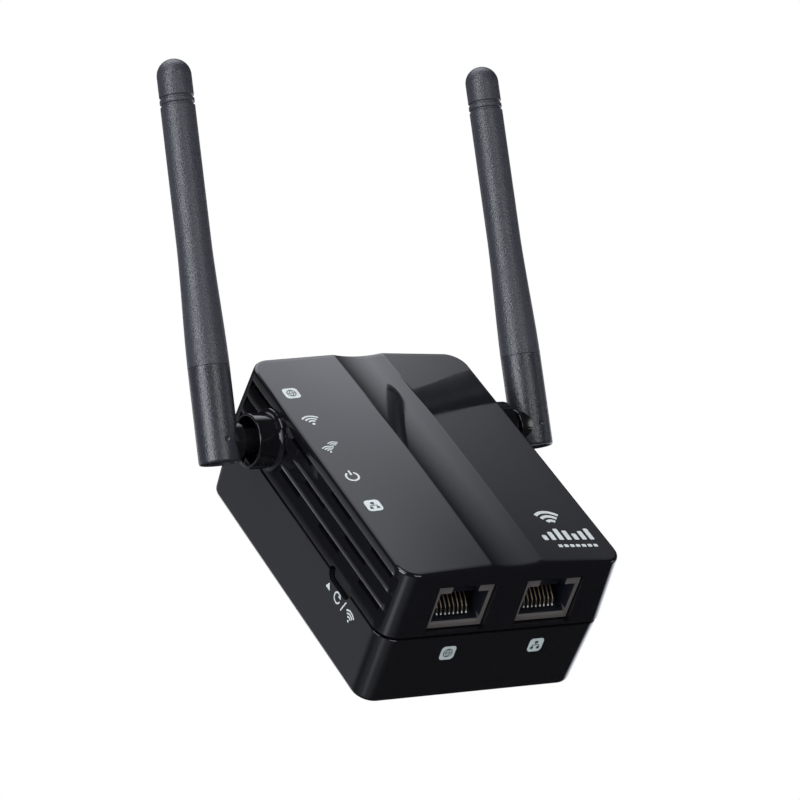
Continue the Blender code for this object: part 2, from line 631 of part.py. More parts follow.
def build_contacts(name, x):
    # Eight spring wires rise towards the back of the socket from a row of tips near its mouth.
    front = -HALF_LENGTH + 0.5 * MM
    back = front + PLUG_DEPTH - GAP
    bar = box((x - 4.6 * MM, above(CONTACT_BAR[1]), back - 1.6 * MM),
              (x + 4.6 * MM, above(CONTACT_BAR[0]), back))
    contacts = new_part(name, bar, (0.83, 0.64, 0.3), 0.25, 1.0)
    wires = bmesh.new()
    for index in range(CONTACT_COUNT):
        offset = (index - (CONTACT_COUNT - 1) / 2) * CONTACT_PITCH
        verts = add_box(wires, (-0.2 * MM, -0.2 * MM, 0.0), (0.2 * MM, 0.2 * MM, CONTACT_LENGTH))
        bmesh.ops.rotate(wires, verts=verts, matrix=Matrix.Rotation(CONTACT_TILT, 3, "X"))
        bmesh.ops.translate(wires, verts=verts, vec=(x + offset, above(CONTACT_TIP[0]), CONTACT_TIP[1]))
    add_to(contacts, wires, "wires")


def build_button():
    outer = -HALF_WIDTH + 0.2 * MM
    inner = -HALF_WIDTH + 2.4 * MM
    cap = new_part("reset_button", pill(BUTTON_LENGTH / 2 - GAP, BUTTON_HEIGHT / 2 - GAP, outer, inner),
                   (0.02, 0.02, 0.022), 0.35)
    flange = pill(BUTTON_LENGTH / 2 + 0.9 * MM, BUTTON_HEIGHT / 2 + 0.9 * MM, -25.1 * MM, -24.3 * MM)
    add_to(cap, flange, "flange")
    switch = on_main_board("reset_switch", (-20.6 * MM, BUTTON_Z), (3.4 * MM, 3.5 * MM, 4.4 * MM),
                           CHIP, 0.4)
    height = above(1.6 * MM)
    well = cylinder(1.1 * MM, (-23.0 * MM, height, BUTTON_Z), (-21.0 * MM, height, BUTTON_Z), 12)
    cut_from(switch, well, "plunger_well")
    stem = cylinder(0.8 * MM, (-24.0 * MM, height, BUTTON_Z), (-22.0 * MM, height, BUTTON_Z), 12)
    new_part("switch_plunger", stem, (0.7, 0.68, 0.6), 0.4)


def build_antenna(name, side, lean):
    pivot = bpy.data.objects.new(name + "_antenna_pivot", None)
    pivot.location = (side * PIVOT_X, PIVOT_Y, PIVOT_Z)
    pivot.rotation_euler = (lean, 0.0, 0.0)
    parts.objects.link(pivot)
    build_antenna_base(name, side, pivot)
    build_antenna_sleeve(name, pivot)
    build_antenna_radiator(name, pivot)
    build_antenna_clip(name, side, pivot)


def inboard(side, x):
    # A point on the hinge axis, at x from the middle of the housing, seen from the pivot.
    return (side * (x - PIVOT_X), 0.0, 0.0)


def build_antenna_base(name, side, pivot):
    profile = [(0.0, SPIGOT_TOP), (SPIGOT_RADIUS, SPIGOT_TOP), (SPIGOT_RADIUS, SEAM - GAP),
               (BASE_RADIUS, SEAM - GAP), (BASE_RADIUS, -ANTENNA_FOOT + 0.5 * MM),
               (BASE_RADIUS - 0.2 * MM, -ANTENNA_FOOT + 0.15 * MM),
               (BASE_RADIUS - 0.6 * MM, -ANTENNA_FOOT), (0.0, -ANTENNA_FOOT)]
    base = turned(name + "_antenna_base", profile, (0.03, 0.03, 0.034), 0.3)
    neck = cylinder(NECK_RADIUS, inboard(side, 38.0 * MM), inboard(side, NECK_END_X), 24)
    collar = cylinder(COLLAR_RADIUS, inboard(side, 38.0 * MM), inboard(side, COLLAR_END_X), 24)
    groove = cylinder(NECK_RADIUS + MM, inboard(side, CLIP_X + 0.35 * MM),
                      inboard(side, CLIP_X - 0.35 * MM), 24)
    core = cylinder(2.1 * MM, inboard(side, CLIP_X + 1.0 * MM), inboard(side, CLIP_X - 1.0 * MM), 24)
    bores = cylinder(1.0 * MM, inboard(side, NECK_END_X - MM), inboard(side, PIVOT_X), 12)
    channel = cylinder(1.2 * MM, (0.0, 0.0, -0.6 * MM), (0.0, 0.0, SPIGOT_TOP + MM), 12)
    elbow = bmesh.new()
    bmesh.ops.create_uvsphere(elbow, u_segments=12, v_segments=8, radius=2.2 * MM)
    dimple = cylinder(0.8 * MM, (0.0, -BASE_RADIUS - MM, 0.0), (0.0, -BASE_RADIUS + 0.35 * MM, 0.0), 12)
    pieces = [base, add_to(base, collar, "collar"), add_to(base, neck, "neck"),
              cut_from(base, groove, "groove"), add_to(base, core, "groove_core"),
              cut_from(base, bores, "neck_bore"), cut_from(base, channel, "channel"),
              cut_from(base, elbow, "elbow"), cut_from(base, dimple, "dimple")]
    inboard_x = -side
    route = [Vector((inboard_x * (PIVOT_X - NECK_END_X), 0.0, 0.0))]
    route += bend((0.0, 0.0, 0.0), (inboard_x, 0.0, 0.0), (0.0, 0.0, 1.0), 1.7 * MM)
    route += [Vector((0.0, 0.0, 12.0 * MM)), Vector((0.0, 0.0, SPIGOT_TOP + 0.6 * MM))]
    lead = wire(name + "_antenna_lead", route, COAX_RADIUS, (0.05, 0.05, 0.05))
    for piece in pieces + [lead]:
        piece.parent = pivot


def sleeve_radius(height):
    # Narrows smoothly from the base's width, then runs straight to the dome.
    flare_top = 42.0 * MM
    part = max(0.0, 1.0 - (height - SEAM) / (flare_top - SEAM))
    blend = part * part * (3.0 - 2.0 * part)
    return TIP_RADIUS + (BASE_RADIUS - TIP_RADIUS) * (0.35 * part + 0.65 * blend)


def build_antenna_sleeve(name, pivot):
    dome = [(TIP_RADIUS * math.sin(angle), ANTENNA_TOP - TIP_RADIUS + TIP_RADIUS * math.cos(angle))
            for angle in [math.pi / 2 * step / 5 for step in range(6)]]
    rings = []
    for below_top in (8.5 * MM, 10.0 * MM):
        height = ANTENNA_TOP - below_top
        for shift, depth in ((0.35, 0.0), (0.15, 0.3), (-0.15, 0.3), (-0.35, 0.0)):
            rings.append((TIP_RADIUS - depth * MM, height + shift * MM))
    heights = [42.0, 37.0, 32.0, 27.0, 22.0, 18.0]
    wall = [(sleeve_radius(height * MM), height * MM) for height in heights]
    foot = [(BASE_RADIUS, SEAM), (SLEEVE_BORE, SEAM), (SLEEVE_BORE, SLEEVE_BORE_TOP), (0.0, SLEEVE_BORE_TOP)]
    sleeve = turned(name + "_antenna_sleeve", dome + rings + wall + foot, (0.035, 0.035, 0.038), 0.55)
    sleeve.parent = pivot


def build_antenna_radiator(name, pivot):
    profile = [(0.0, 73.0 * MM), (0.4 * MM, 73.0 * MM), (0.4 * MM, 52.0 * MM), (1.9 * MM, 51.7 * MM),
               (1.9 * MM, 27.0 * MM), (0.55 * MM, 26.7 * MM), (0.55 * MM, SPIGOT_TOP + 1.0 * MM),
               (0.0, SPIGOT_TOP + 1.0 * MM)]
    radiator = turned(name + "_antenna_radiator", profile, (0.8, 0.62, 0.3), 0.3, 1.0, 12)
    radiator.parent = pivot


def build_antenna_clip(name, side, pivot):
    disc = cylinder(3.9 * MM, inboard(side, CLIP_X + 0.25 * MM), inboard(side, CLIP_X - 0.2 * MM), 24)
    clip = new_part(name + "_antenna_clip", disc, (0.5, 0.5, 0.52), 0.3, 1.0)
    eye = cylinder(2.4 * MM, inboard(side, CLIP_X + MM), inboard(side, CLIP_X - MM), 24)
    centre = Vector(inboard(side, CLIP_X))
    mouth = box(centre + Vector((-MM, -1.6 * MM, -5 * MM)), centre + Vector((MM, 1.6 * MM, 0.0)))
    for piece in (clip, cut_from(clip, eye, "eye"), cut_from(clip, mouth, "mouth")):
        piece.parent = pivot


def build_case_leads():
    # Coaxial leads from the hinge necks to the main board.
    for name, side in SIDES.items():
        start = Vector((side * (NECK_END_X - 0.6 * MM), PIVOT_Y, PIVOT_Z))
        low = PART_Y - GAP - COAX_RADIUS - 0.2 * MM
        turn_x = side * 17.5 * MM
        route = [start]
        route += bend((turn_x, PIVOT_Y, PIVOT_Z), (side, 0.0, 0.0), (0.0, 1.0, 0.0), 2.0 * MM)
        route += bend((turn_x, low, PIVOT_Z), (0.0, -1.0, 0.0), (0.0, 0.0, 1.0), 2.0 * MM)
        route += [Vector((turn_x, low, PIVOT_Z + 5.5 * MM))]
        wire(name + "_board_lead", route, COAX_RADIUS, (0.05, 0.05, 0.05))


clear_scene()
parts = new_collection("wifi_range_extender")
tools = new_collection("cutters")
build_front_cover()
build_rear_case()
build_plug()
build_boards()
build_main_board_components()
build_power_board_components()
build_sockets()
build_button()
build_screws()
for antenna_name, antenna_side in SIDES.items():
    build_antenna(antenna_name, antenna_side, LEFT_LEAN if antenna_side < 0 else RIGHT_LEAN)
build_case_leads()
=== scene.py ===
import math

import bmesh
import bpy
from mathutils import Matrix, Vector


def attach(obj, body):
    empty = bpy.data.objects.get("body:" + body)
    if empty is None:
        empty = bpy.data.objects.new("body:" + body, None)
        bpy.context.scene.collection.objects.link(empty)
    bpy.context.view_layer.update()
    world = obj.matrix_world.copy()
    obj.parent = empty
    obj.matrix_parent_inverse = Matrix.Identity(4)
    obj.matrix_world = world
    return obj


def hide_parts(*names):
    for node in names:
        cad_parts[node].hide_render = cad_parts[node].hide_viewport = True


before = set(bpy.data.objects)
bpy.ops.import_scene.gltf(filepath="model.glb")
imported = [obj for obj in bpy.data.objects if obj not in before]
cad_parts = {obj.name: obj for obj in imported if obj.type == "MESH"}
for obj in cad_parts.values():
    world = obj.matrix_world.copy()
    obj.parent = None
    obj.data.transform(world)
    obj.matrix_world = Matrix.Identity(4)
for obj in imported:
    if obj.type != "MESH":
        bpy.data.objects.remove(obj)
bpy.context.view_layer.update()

# Wall-plug wifi range extender: +Y goes into the wall, +Z up the wall, +X right as seen from the room.
mm = 0.001
sides = {"left": -1, "right": 1}

finishes = {
    # kind, colour, roughness, how much the roughness wanders, grain size, grain height
    "cover_gloss": ("plastic", (0.0050, 0.0050, 0.0062), 0.05, 0.02, 0.9 * mm, 0.0002 * mm),
    "case_gloss": ("plastic", (0.0055, 0.0055, 0.0065), 0.13, 0.03, 0.7 * mm, 0.0006 * mm),
    "antenna_base": ("plastic", (0.024, 0.025, 0.031), 0.27, 0.06, 0.36 * mm, 0.09 * mm),
    "antenna_neck": ("plastic", (0.006, 0.006, 0.007), 0.16, 0.04, 0.5 * mm, 0.0010 * mm),
    "antenna_sleeve": ("plastic", (0.036, 0.037, 0.046), 0.33, 0.07, 0.36 * mm, 0.13 * mm),
    "button_black": ("plastic", (0.006, 0.006, 0.007), 0.72, 0.06, 0.4 * mm, 0.020 * mm),
    "jack_plastic": ("plastic", (0.085, 0.076, 0.072), 0.42, 0.06, 0.4 * mm, 0.004 * mm),
    # painted shade: a near-black copy of the jack plastic for the plug cavity's inner walls
    "jack_inside_painted_shade": ("plastic", (0.010, 0.011, 0.016), 0.30, 0.06, 0.4 * mm, 0.004 * mm),
    "moulded_cream": ("plastic", (0.66, 0.65, 0.58), 0.48, 0.05, 0.6 * mm, 0.003 * mm),
    "chip_black": ("plastic", (0.022, 0.022, 0.023), 0.52, 0.06, 0.25 * mm, 0.004 * mm),
    "ferrite": ("plastic", (0.045, 0.045, 0.05), 0.62, 0.08, 0.4 * mm, 0.008 * mm),
    "winding_tape": ("plastic", (0.72, 0.56, 0.06), 0.34, 0.06, 1.2 * mm, 0.01 * mm),
    "capacitor_sleeve": ("plastic", (0.022, 0.03, 0.10), 0.28, 0.05, 1.0 * mm, 0.004 * mm),
    "resistor_body": ("plastic", (0.28, 0.46, 0.38), 0.44, 0.05, 0.5 * mm, 0.006 * mm),
    "ceramic_blue": ("plastic", (0.04, 0.17, 0.46), 0.30, 0.06, 0.8 * mm, 0.006 * mm),
    "coax_jacket": ("plastic", (0.03, 0.03, 0.03), 0.42, 0.05, 0.3 * mm, 0.003 * mm),
    "board_green": ("board", (0.012, 0.15, 0.045), 0.30, 0.05, 0.5 * mm, 0.002 * mm),
    "board_brown": ("board", (0.30, 0.19, 0.07), 0.46, 0.05, 0.5 * mm, 0.002 * mm),
    "clear_plastic": ("clear", (0.90, 0.93, 0.96), 0.08, 0.03, 0.8 * mm, 0.001 * mm),
    "led_lens": ("clear", (0.92, 0.90, 0.74), 0.12, 0.03, 0.4 * mm, 0.001 * mm),
    "blade_metal": ("metal", (0.76, 0.66, 0.44), 0.24, 0.08, 0.5 * mm, 0.002 * mm),
    "contact_gold": ("metal", (0.90, 0.66, 0.30), 0.20, 0.06, 0.2 * mm, 0.001 * mm),
    # painted shade: gold dimmed to a dull brown for the contact wires deep inside the socket
    "contact_wire_painted_shade": ("metal", (0.33, 0.27, 0.19), 0.42, 0.06, 0.2 * mm, 0.001 * mm),
    # painted highlight: near-white metal on the wire ends, standing in for the glints on the contacts
    "contact_tip_painted_glint": ("metal", (0.95, 0.93, 0.88), 0.50, 0.05, 0.2 * mm, 0.001 * mm),
    "tinned_steel": ("metal", (0.68, 0.68, 0.67), 0.30, 0.08, 0.5 * mm, 0.002 * mm),
    "screw_steel": ("metal", (0.52, 0.52, 0.54), 0.30, 0.08, 0.3 * mm, 0.002 * mm),
    # painted shade: the grey print dimmed for the badges on the front wall, which catch less light
    "print_badge": ("plastic", (0.40, 0.46, 0.45), 0.40, 0.05, 0.2 * mm, 0.002 * mm),
    "print_grey": ("plastic", (0.56, 0.60, 0.60), 0.40, 0.05, 0.2 * mm, 0.002 * mm),
    "print_dark": ("plastic", (0.02, 0.03, 0.035), 0.40, 0.05, 0.2 * mm, 0.002 * mm),
}
made = {}


def finish(name):
    if name in made:
        return made[name]
    kind, colour, roughness, wander, grain, height = finishes[name]
    material = bpy.data.materials.new(name)
    material.use_nodes = True
    tree = material.node_tree
    shader = tree.nodes["Principled BSDF"]
    place = tree.nodes.new("ShaderNodeTexCoord").outputs["Object"]
    # roughness drifts over a few millimetres, as handling and moulding leave it
    drift = noise(tree, place, 6.0 * mm, 3.0)
    tree.links.new(remap(tree, drift, roughness - wander, roughness + wander), shader.inputs["Roughness"])
    # the colour drifts by a few percent
    tint = tree.nodes.new("ShaderNodeMix")
    tint.data_type = "RGBA"
    tint.inputs["A"].default_value = (*[c * 0.88 for c in colour], 1.0)
    tint.inputs["B"].default_value = (*[min(1.0, c * 1.12) for c in colour], 1.0)
    tree.links.new(noise(tree, place, 2.5 * mm, 4.0), tint.inputs["Factor"])
    tree.links.new(tint.outputs["Result"], shader.inputs["Base Color"])
    if kind == "board":
        addTraces(tree, place, tint, colour)
    bump = tree.nodes.new("ShaderNodeBump")
    bump.inputs["Strength"].default_value = 1.0
    bump.inputs["Distance"].default_value = height
    tree.links.new(noise(tree, place, grain, 2.0), bump.inputs["Height"])
    tree.links.new(bump.outputs["Normal"], shader.inputs["Normal"])
    shader.inputs["Metallic"].default_value = 1.0 if kind == "metal" else 0.0
    if kind == "clear":
        shader.inputs["Transmission Weight"].default_value = 0.85
    made[name] = material
    return material


def noise(tree, place, size, detail):
    # a noise whose blotches are about this size across
    node = tree.nodes.new("ShaderNodeTexNoise")
    node.inputs["Scale"].default_value = 1.0 / size
    node.inputs["Detail"].default_value = detail
    tree.links.new(place, node.inputs["Vector"])
    return node.outputs["Fac"]


def remap(tree, value, low, high):
    node = tree.nodes.new("ShaderNodeMapRange")
    node.inputs["From Min"].default_value = 0.3
    node.inputs["From Max"].default_value = 0.7
    node.inputs["To Min"].default_value = low
    node.inputs["To Max"].default_value = high
    tree.links.new(value, node.inputs["Value"])
    return node.outputs["Result"]


def addTraces(tree, place, tint, colour):
    # copper tracks that show through the solder mask
    turn = tree.nodes.new("ShaderNodeMapping")
    turn.inputs["Rotation"].default_value = (math.pi / 2, 0.0, 0.0)
    bricks = tree.nodes.new("ShaderNodeTexBrick")
    bricks.inputs["Scale"].default_value = 1.0 / (1.4 * mm)
    bricks.inputs["Mortar Size"].default_value = 0.12
    bricks.inputs["Color1"].default_value = (*colour, 1.0)
    bricks.inputs["Color2"].default_value = (*[c * 0.8 for c in colour], 1.0)
    bricks.inputs["Mortar"].default_value = (*[min(1.0, c * 1.7 + 0.01) for c in colour], 1.0)
    tree.links.new(place, turn.inputs["Vector"])
    tree.links.new(turn.outputs["Vector"], bricks.inputs["Vector"])
    tree.links.new(bricks.outputs["Color"], tint.inputs["A"])


def newPiece(name, bm, finishName, body, replaces=()):
    mesh = bpy.data.meshes.new(name)
    bm.to_mesh(mesh)
    bm.free()
    piece = bpy.data.objects.new(name, mesh)
    bpy.context.scene.collection.objects.link(piece)
    mesh.materials.append(finish(finishName))
    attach(piece, body)
    if replaces:
        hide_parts(*replaces)
    return piece


def cut(piece, bm, operation="DIFFERENCE"):
    # a Boolean that is applied at once, and uses up the cutter
    mesh = bpy.data.meshes.new("cutter")
    bm.to_mesh(mesh)
    bm.free()
    tool = bpy.data.objects.new("cutter", mesh)
    bpy.context.scene.collection.objects.link(tool)
    modifier = piece.modifiers.new("cut", "BOOLEAN")
    modifier.operation = operation
    modifier.solver = "EXACT"
    modifier.object = tool
    applyModifiers(piece)
    bpy.data.objects.remove(tool)


def applyModifiers(piece):
    bpy.context.view_layer.update()
    depsgraph = bpy.context.evaluated_depsgraph_get()
    mesh = bpy.data.meshes.new_from_object(piece.evaluated_get(depsgraph))
    piece.modifiers.clear()
    piece.data = mesh


def smooth(piece, degrees=32.0, weighted=False):
    piece.data.shade_smooth()
    piece.data.set_sharp_from_angle(angle=math.radians(degrees))
    if weighted:
        modifier = piece.modifiers.new("weigh", "WEIGHTED_NORMAL")
        modifier.keep_sharp = True


def bevel(bm, edges, offset, segments):
    bmesh.ops.bevel(bm, geom=edges, offset=offset, segments=segments, profile=0.5, affect="EDGES",
                    material=-1, clamp_overlap=True)


def addBox(bm, low, high):
    low, high = Vector(low), Vector(high)
    place = Matrix.Translation((low + high) / 2) @ Matrix.Diagonal((*(high - low), 1.0))
    return bmesh.ops.create_cube(bm, size=1.0, matrix=place)["verts"]


def box(low, high):
    bm = bmesh.new()
    addBox(bm, low, high)
    return bm


def cylinder(radius, start, end, segments):
    start, end = Vector(start), Vector(end)
    axis = end - start
    turn = Vector((0.0, 0.0, 1.0)).rotation_difference(axis).to_matrix().to_4x4()
    bm = bmesh.new()
    bmesh.ops.create_cone(bm, cap_ends=True, segments=segments, radius1=radius, radius2=radius,
                          depth=axis.length, matrix=Matrix.Translation(start + axis / 2) @ turn)
    return bm


def spun(profile, steps=96):
    # (radius, height) points turned round Z into a closed solid
    bm = bmesh.new()
    points = [bm.verts.new((radius, 0.0, height)) for radius, height in profile]
    edges = [bm.edges.new(pair) for pair in zip(points, points[1:])]
    bmesh.ops.spin(bm, geom=points + edges, cent=(0.0, 0.0, 0.0), axis=(0.0, 0.0, 1.0),
                   angle=math.tau, steps=steps, use_merge=True)
    bmesh.ops.remove_doubles(bm, verts=bm.verts[:], dist=0.001 * mm)
    bmesh.ops.recalc_face_normals(bm, faces=bm.faces[:])
    return bm


def roundedBlock(halfX, halfZ, lowY, highY, corner, segments):
    bm = box((-halfX, lowY, -halfZ), (halfX, highY, halfZ))
    upright = [e for e in bm.edges if abs(e.verts[0].co.y - e.verts[1].co.y) > 1.0 * mm]
    bevel(bm, upright, corner, segments)
    return bm


def rimEdges(bm, y):
    return [e for e in bm.edges if all(abs(v.co.y - y) < 0.01 * mm for v in e.verts)]


def sliceAcross(bm, point, normal):
    bmesh.ops.bisect_plane(bm, geom=bm.verts[:] + bm.edges[:] + bm.faces[:], plane_co=point, plane_no=normal,
                           dist=0.002 * mm)


shell = {
    "partY": -17.2 * mm, "gap": 0.3 * mm, "coverLift": 0.38 * mm, "caseDrop": 0.36 * mm,
    "halfWidth": 26.8 * mm, "halfLength": 37.0 * mm, "faceDepth": 15.7 * mm, "flare": 0.6 * mm,
    "corner": 4.5 * mm, "edge": 0.7 * mm, "rearEdge": 1.2 * mm, "chamfer": 0.20 * mm,
    "stepIn": 0.2 * mm, "rearTaper": 0.6 * mm, "coverWall": 1.6 * mm, "caseWall": 1.8 * mm,
    "ridgeX": 6.1 * mm, "ridgeRise": 1.05 * mm, "ridgeBow": 0.65 * mm, "channelSag": 0.65 * mm,
    "ridgeSoft": 0.07 * mm, "overrun": 2.0 * mm,
    # where the roof is sliced so that its ridges and channel come out smooth
    "channelSteps": 8, "lengthSteps": 12, "planeStep": 5.0 * mm,
    "ridgeCuts": (-0.35 * mm, -0.2 * mm, -0.1 * mm, 0.1 * mm, 0.2 * mm, 0.35 * mm),
}
faceY = shell["partY"] - shell["faceDepth"]

louvre = {
    "rows": (12.8 * mm, 8.7 * mm, 4.6 * mm), "slotHeight": 1.3 * mm, "slotLength": 9.0 * mm,
    "pitch": 18.4 * mm, "start": -32.5 * mm, "depth": 0.6 * mm, "run": 2.9 * mm,
    "front": -34.8 * mm, "back": 33.0 * mm, "floorFoot": 0.15 * mm,
    "slotDepth": 3.0 * mm, "slotDrop": 0.12 * mm,
    # how far each row's lip is chamfered inwards and upwards
    "lips": ((0.08 * mm, 0.18 * mm), (0.10 * mm, 0.22 * mm), (0.17 * mm, 0.38 * mm)),
}

hinge = {
    "x": 39.4 * mm, "y": -24.4 * mm, "z": 20.4 * mm,
    "bossRadius": 5.75 * mm, "cupRadius": 5.15 * mm,
    "rimX": 32.4 * mm, "floorX": 28.0 * mm, "rootX": 26.2 * mm,
    "bearingRadius": 2.8 * mm, "bearingX": 23.0 * mm, "outerRound": 0.22 * mm, "innerRound": 0.16 * mm,
    # how far the fillet at the boss's root stands past its side and past the wall
    "fillet": ((0.9 * mm, 0.15 * mm), (0.8 * mm, 0.3 * mm), (0.4 * mm, 0.4 * mm), (0.12 * mm, 0.55 * mm),
               (0.0, 0.85 * mm)),
    # radius and height above the cup's floor of the collar round the bearing
    "bearingCollar": ((4.3 * mm, 0.0), (4.3 * mm, 1.6 * mm), (3.75 * mm, 1.8 * mm), (3.75 * mm, 0.0)),
    # Y and Z ranges of the stop that the antenna's collar turns against, from the hinge
    "stopY": (3.9 * mm, 5.3 * mm), "stopZ": (-3.2 * mm, -0.4 * mm),
}

rear = {
    "bladeX": 6.35 * mm, "slotHalf": (1.05 * mm, 3.45 * mm), "slotDepth": 3.0 * mm,
    "screwX": 21.8 * mm, "screwZ": 32.4 * mm, "wellRadius": 2.1 * mm, "wellDepth": 9.0 * mm,
    # the lip inside the parting line that the cover drops over
    "lipPlay": 0.1 * mm, "lipWall": 0.8 * mm, "lipTop": 1.6 * mm, "lipFoot": -2.5 * mm,
    "lipCorner": (2.7 * mm, 1.9 * mm), "lipOpening": 19.2 * mm, "lipOpeningZ": (-40.0 * mm, -33.6 * mm),
}

socket = {
    "x": 10.6 * mm, "width": 13.9 * mm, "low": 1.2 * mm, "high": 12.5 * mm,
    "jackWidth": 15.6 * mm, "jackHeight": 13.5 * mm, "jackLength": 20.0 * mm, "front": -36.5 * mm,
    "plugWidth": 11.5 * mm, "plugLow": 2.9 * mm, "plugHigh": 10.4 * mm, "plugDepth": 13.5 * mm,
    "latchWidth": 6.4 * mm, "pitch": 1.016 * mm, "wires": 8, "noseRound": 0.12 * mm,
    "lead": (1.0 * mm, 0.4 * mm, 1.6 * mm),       # above the mouth's edge, below it, and inwards
    "insert": (6.4 * mm, 7.7 * mm, -31.8 * mm),   # low and high side above the parting plane, front Z
}

button = {
    "y": -16.9 * mm, "z": -18.3 * mm, "length": 9.0 * mm, "height": 3.6 * mm, "sunk": 0.75 * mm,
    "depth": 2.4 * mm, "round": 0.35 * mm, "hole": (-30.0 * mm, -23.0 * mm),
    "flange": 0.9 * mm, "flangeX": (-25.1 * mm, -24.3 * mm),
}


def above(height):
    return shell["partY"] - height


def roofRise(x, z):
    # two planes that fall away from soft ridges, with a shallow channel between
    ridge = shell["ridgeRise"] + shell["ridgeBow"] * (1.0 - (z / shell["halfLength"]) ** 2)
    plane = ridge * (shell["halfWidth"] - abs(x)) / (shell["halfWidth"] - shell["ridgeX"])
    channel = ridge - shell["channelSag"] * (1.0 - (x / shell["ridgeX"]) ** 2)
    soft = shell["ridgeSoft"]
    near = max(0.0, soft - abs(plane - channel)) / soft
    return min(plane, channel) - near * near * soft / 4


def coverForm(inset, openY):
    bm = roundedBlock(shell["halfWidth"] - inset, shell["halfLength"] - inset, faceY + inset, openY,
                      shell["corner"] - inset, 12)
    if inset == 0.0:
        bevel(bm, rimEdges(bm, faceY), shell["edge"], 5)
        bevel(bm, rimEdges(bm, openY), shell["chamfer"], 3)
        ridge = shell["ridgeX"]
        steps = shell["channelSteps"]
        places = [ridge * step / steps for step in range(-steps, steps + 1)]
        for sign in (-1, 1):
            places += [sign * (ridge + shift) for shift in shell["ridgeCuts"]]
            places += [sign * (ridge + shell["planeStep"] * step) for step in range(1, 4)]
        for x in places:
            sliceAcross(bm, (x, 0.0, 0.0), (1.0, 0.0, 0.0))
        steps = shell["lengthSteps"]
        for step in range(-steps, steps + 1):
            sliceAcross(bm, (0.0, 0.0, shell["halfLength"] * step / (steps + 0.5)), (0.0, 0.0, 1.0))
    for vertex in bm.verts:
        spread = shell["flare"] * (1.0 - (shell["partY"] - vertex.co.y) / shell["faceDepth"])
        if vertex.co.y < faceY + inset + shell["edge"] * 1.1:
            vertex.co.y -= roofRise(vertex.co.x, vertex.co.z)
        vertex.co.x *= 1.0 + spread / shell["halfWidth"]
        vertex.co.z *= 1.0 + spread / shell["halfLength"]
    return bm


def wallX(height):
    # the outside of the cover's side wall at a height above the parting plane
    return shell["halfWidth"] + shell["flare"] * (1.0 - height / shell["faceDepth"])


def makeCover():
    cover = newPiece("front_cover_shell", coverForm(0.0, above(shell["coverLift"])), "cover_gloss",
                     "housing", ["front_cover"])
    cut(cover, coverForm(shell["coverWall"], above(-shell["overrun"])))
    cutLouvres(cover)
    chamferLips(cover)
    addBosses(cover)
    cutSocketMouths(cover)
    cut(cover, pill(0.0, *button["hole"]))
    smooth(cover, 30.0, weighted=True)


def cutLouvres(cover):
    grooves = bmesh.new()
    slots = bmesh.new()
    for side in sides.values():
        for row, height in enumerate(louvre["rows"]):
            top = height + louvre["slotHeight"] / 2
            wall = wallX(top)
            inner = wall - louvre["depth"]
            xs = sorted((side * inner, side * (wall + 1.0 * mm)))
            verts = addBox(grooves, (xs[0], above(top), louvre["front"]),
                           (xs[1], above(top - louvre["run"]), louvre["back"]))
            # the floor slopes out to the wall's face at the foot of the groove
            for vertex in verts:
                if abs(abs(vertex.co.x) - inner) < 0.01 * mm and vertex.co.y > above(top - 1.0 * mm):
                    vertex.co.x = side * (wall + louvre["floorFoot"])
            shift = louvre["pitch"] / 2 if row == 1 else 0.0
            for index in range(3 if row == 1 else 4):
                start = louvre["start"] + shift + index * louvre["pitch"]
                xs = sorted((side * (wall - louvre["slotDepth"]), side * (wall - louvre["depth"] * 0.2)))
                addBox(slots, (xs[0], above(top - louvre["slotDrop"]), start),
                       (xs[1], above(top - louvre["slotHeight"]), start + louvre["slotLength"]))
    cut(cover, grooves)
    cut(cover, slots)


def chamferLips(cover):
    # a flat chamfer along the outer edge above each groove, steep enough to catch the light
    tools = bmesh.new()
    for side in sides.values():
        for height, (inward, upward) in zip(louvre["rows"], louvre["lips"]):
            top = height + louvre["slotHeight"] / 2
            tilt = math.atan2(inward, upward)
            verts = addBox(tools, (0.0, -0.6 * mm, louvre["front"]), (1.0 * mm, 0.6 * mm, louvre["back"]))
            middle = (side * (wallX(top) - inward / 2), above(top + upward / 2), 0.0)
            turn = Matrix.Rotation(tilt if side > 0 else math.pi - tilt, 4, "Z")
            bmesh.ops.transform(tools, matrix=Matrix.Translation(middle) @ turn, verts=verts)
    cut(cover, tools)


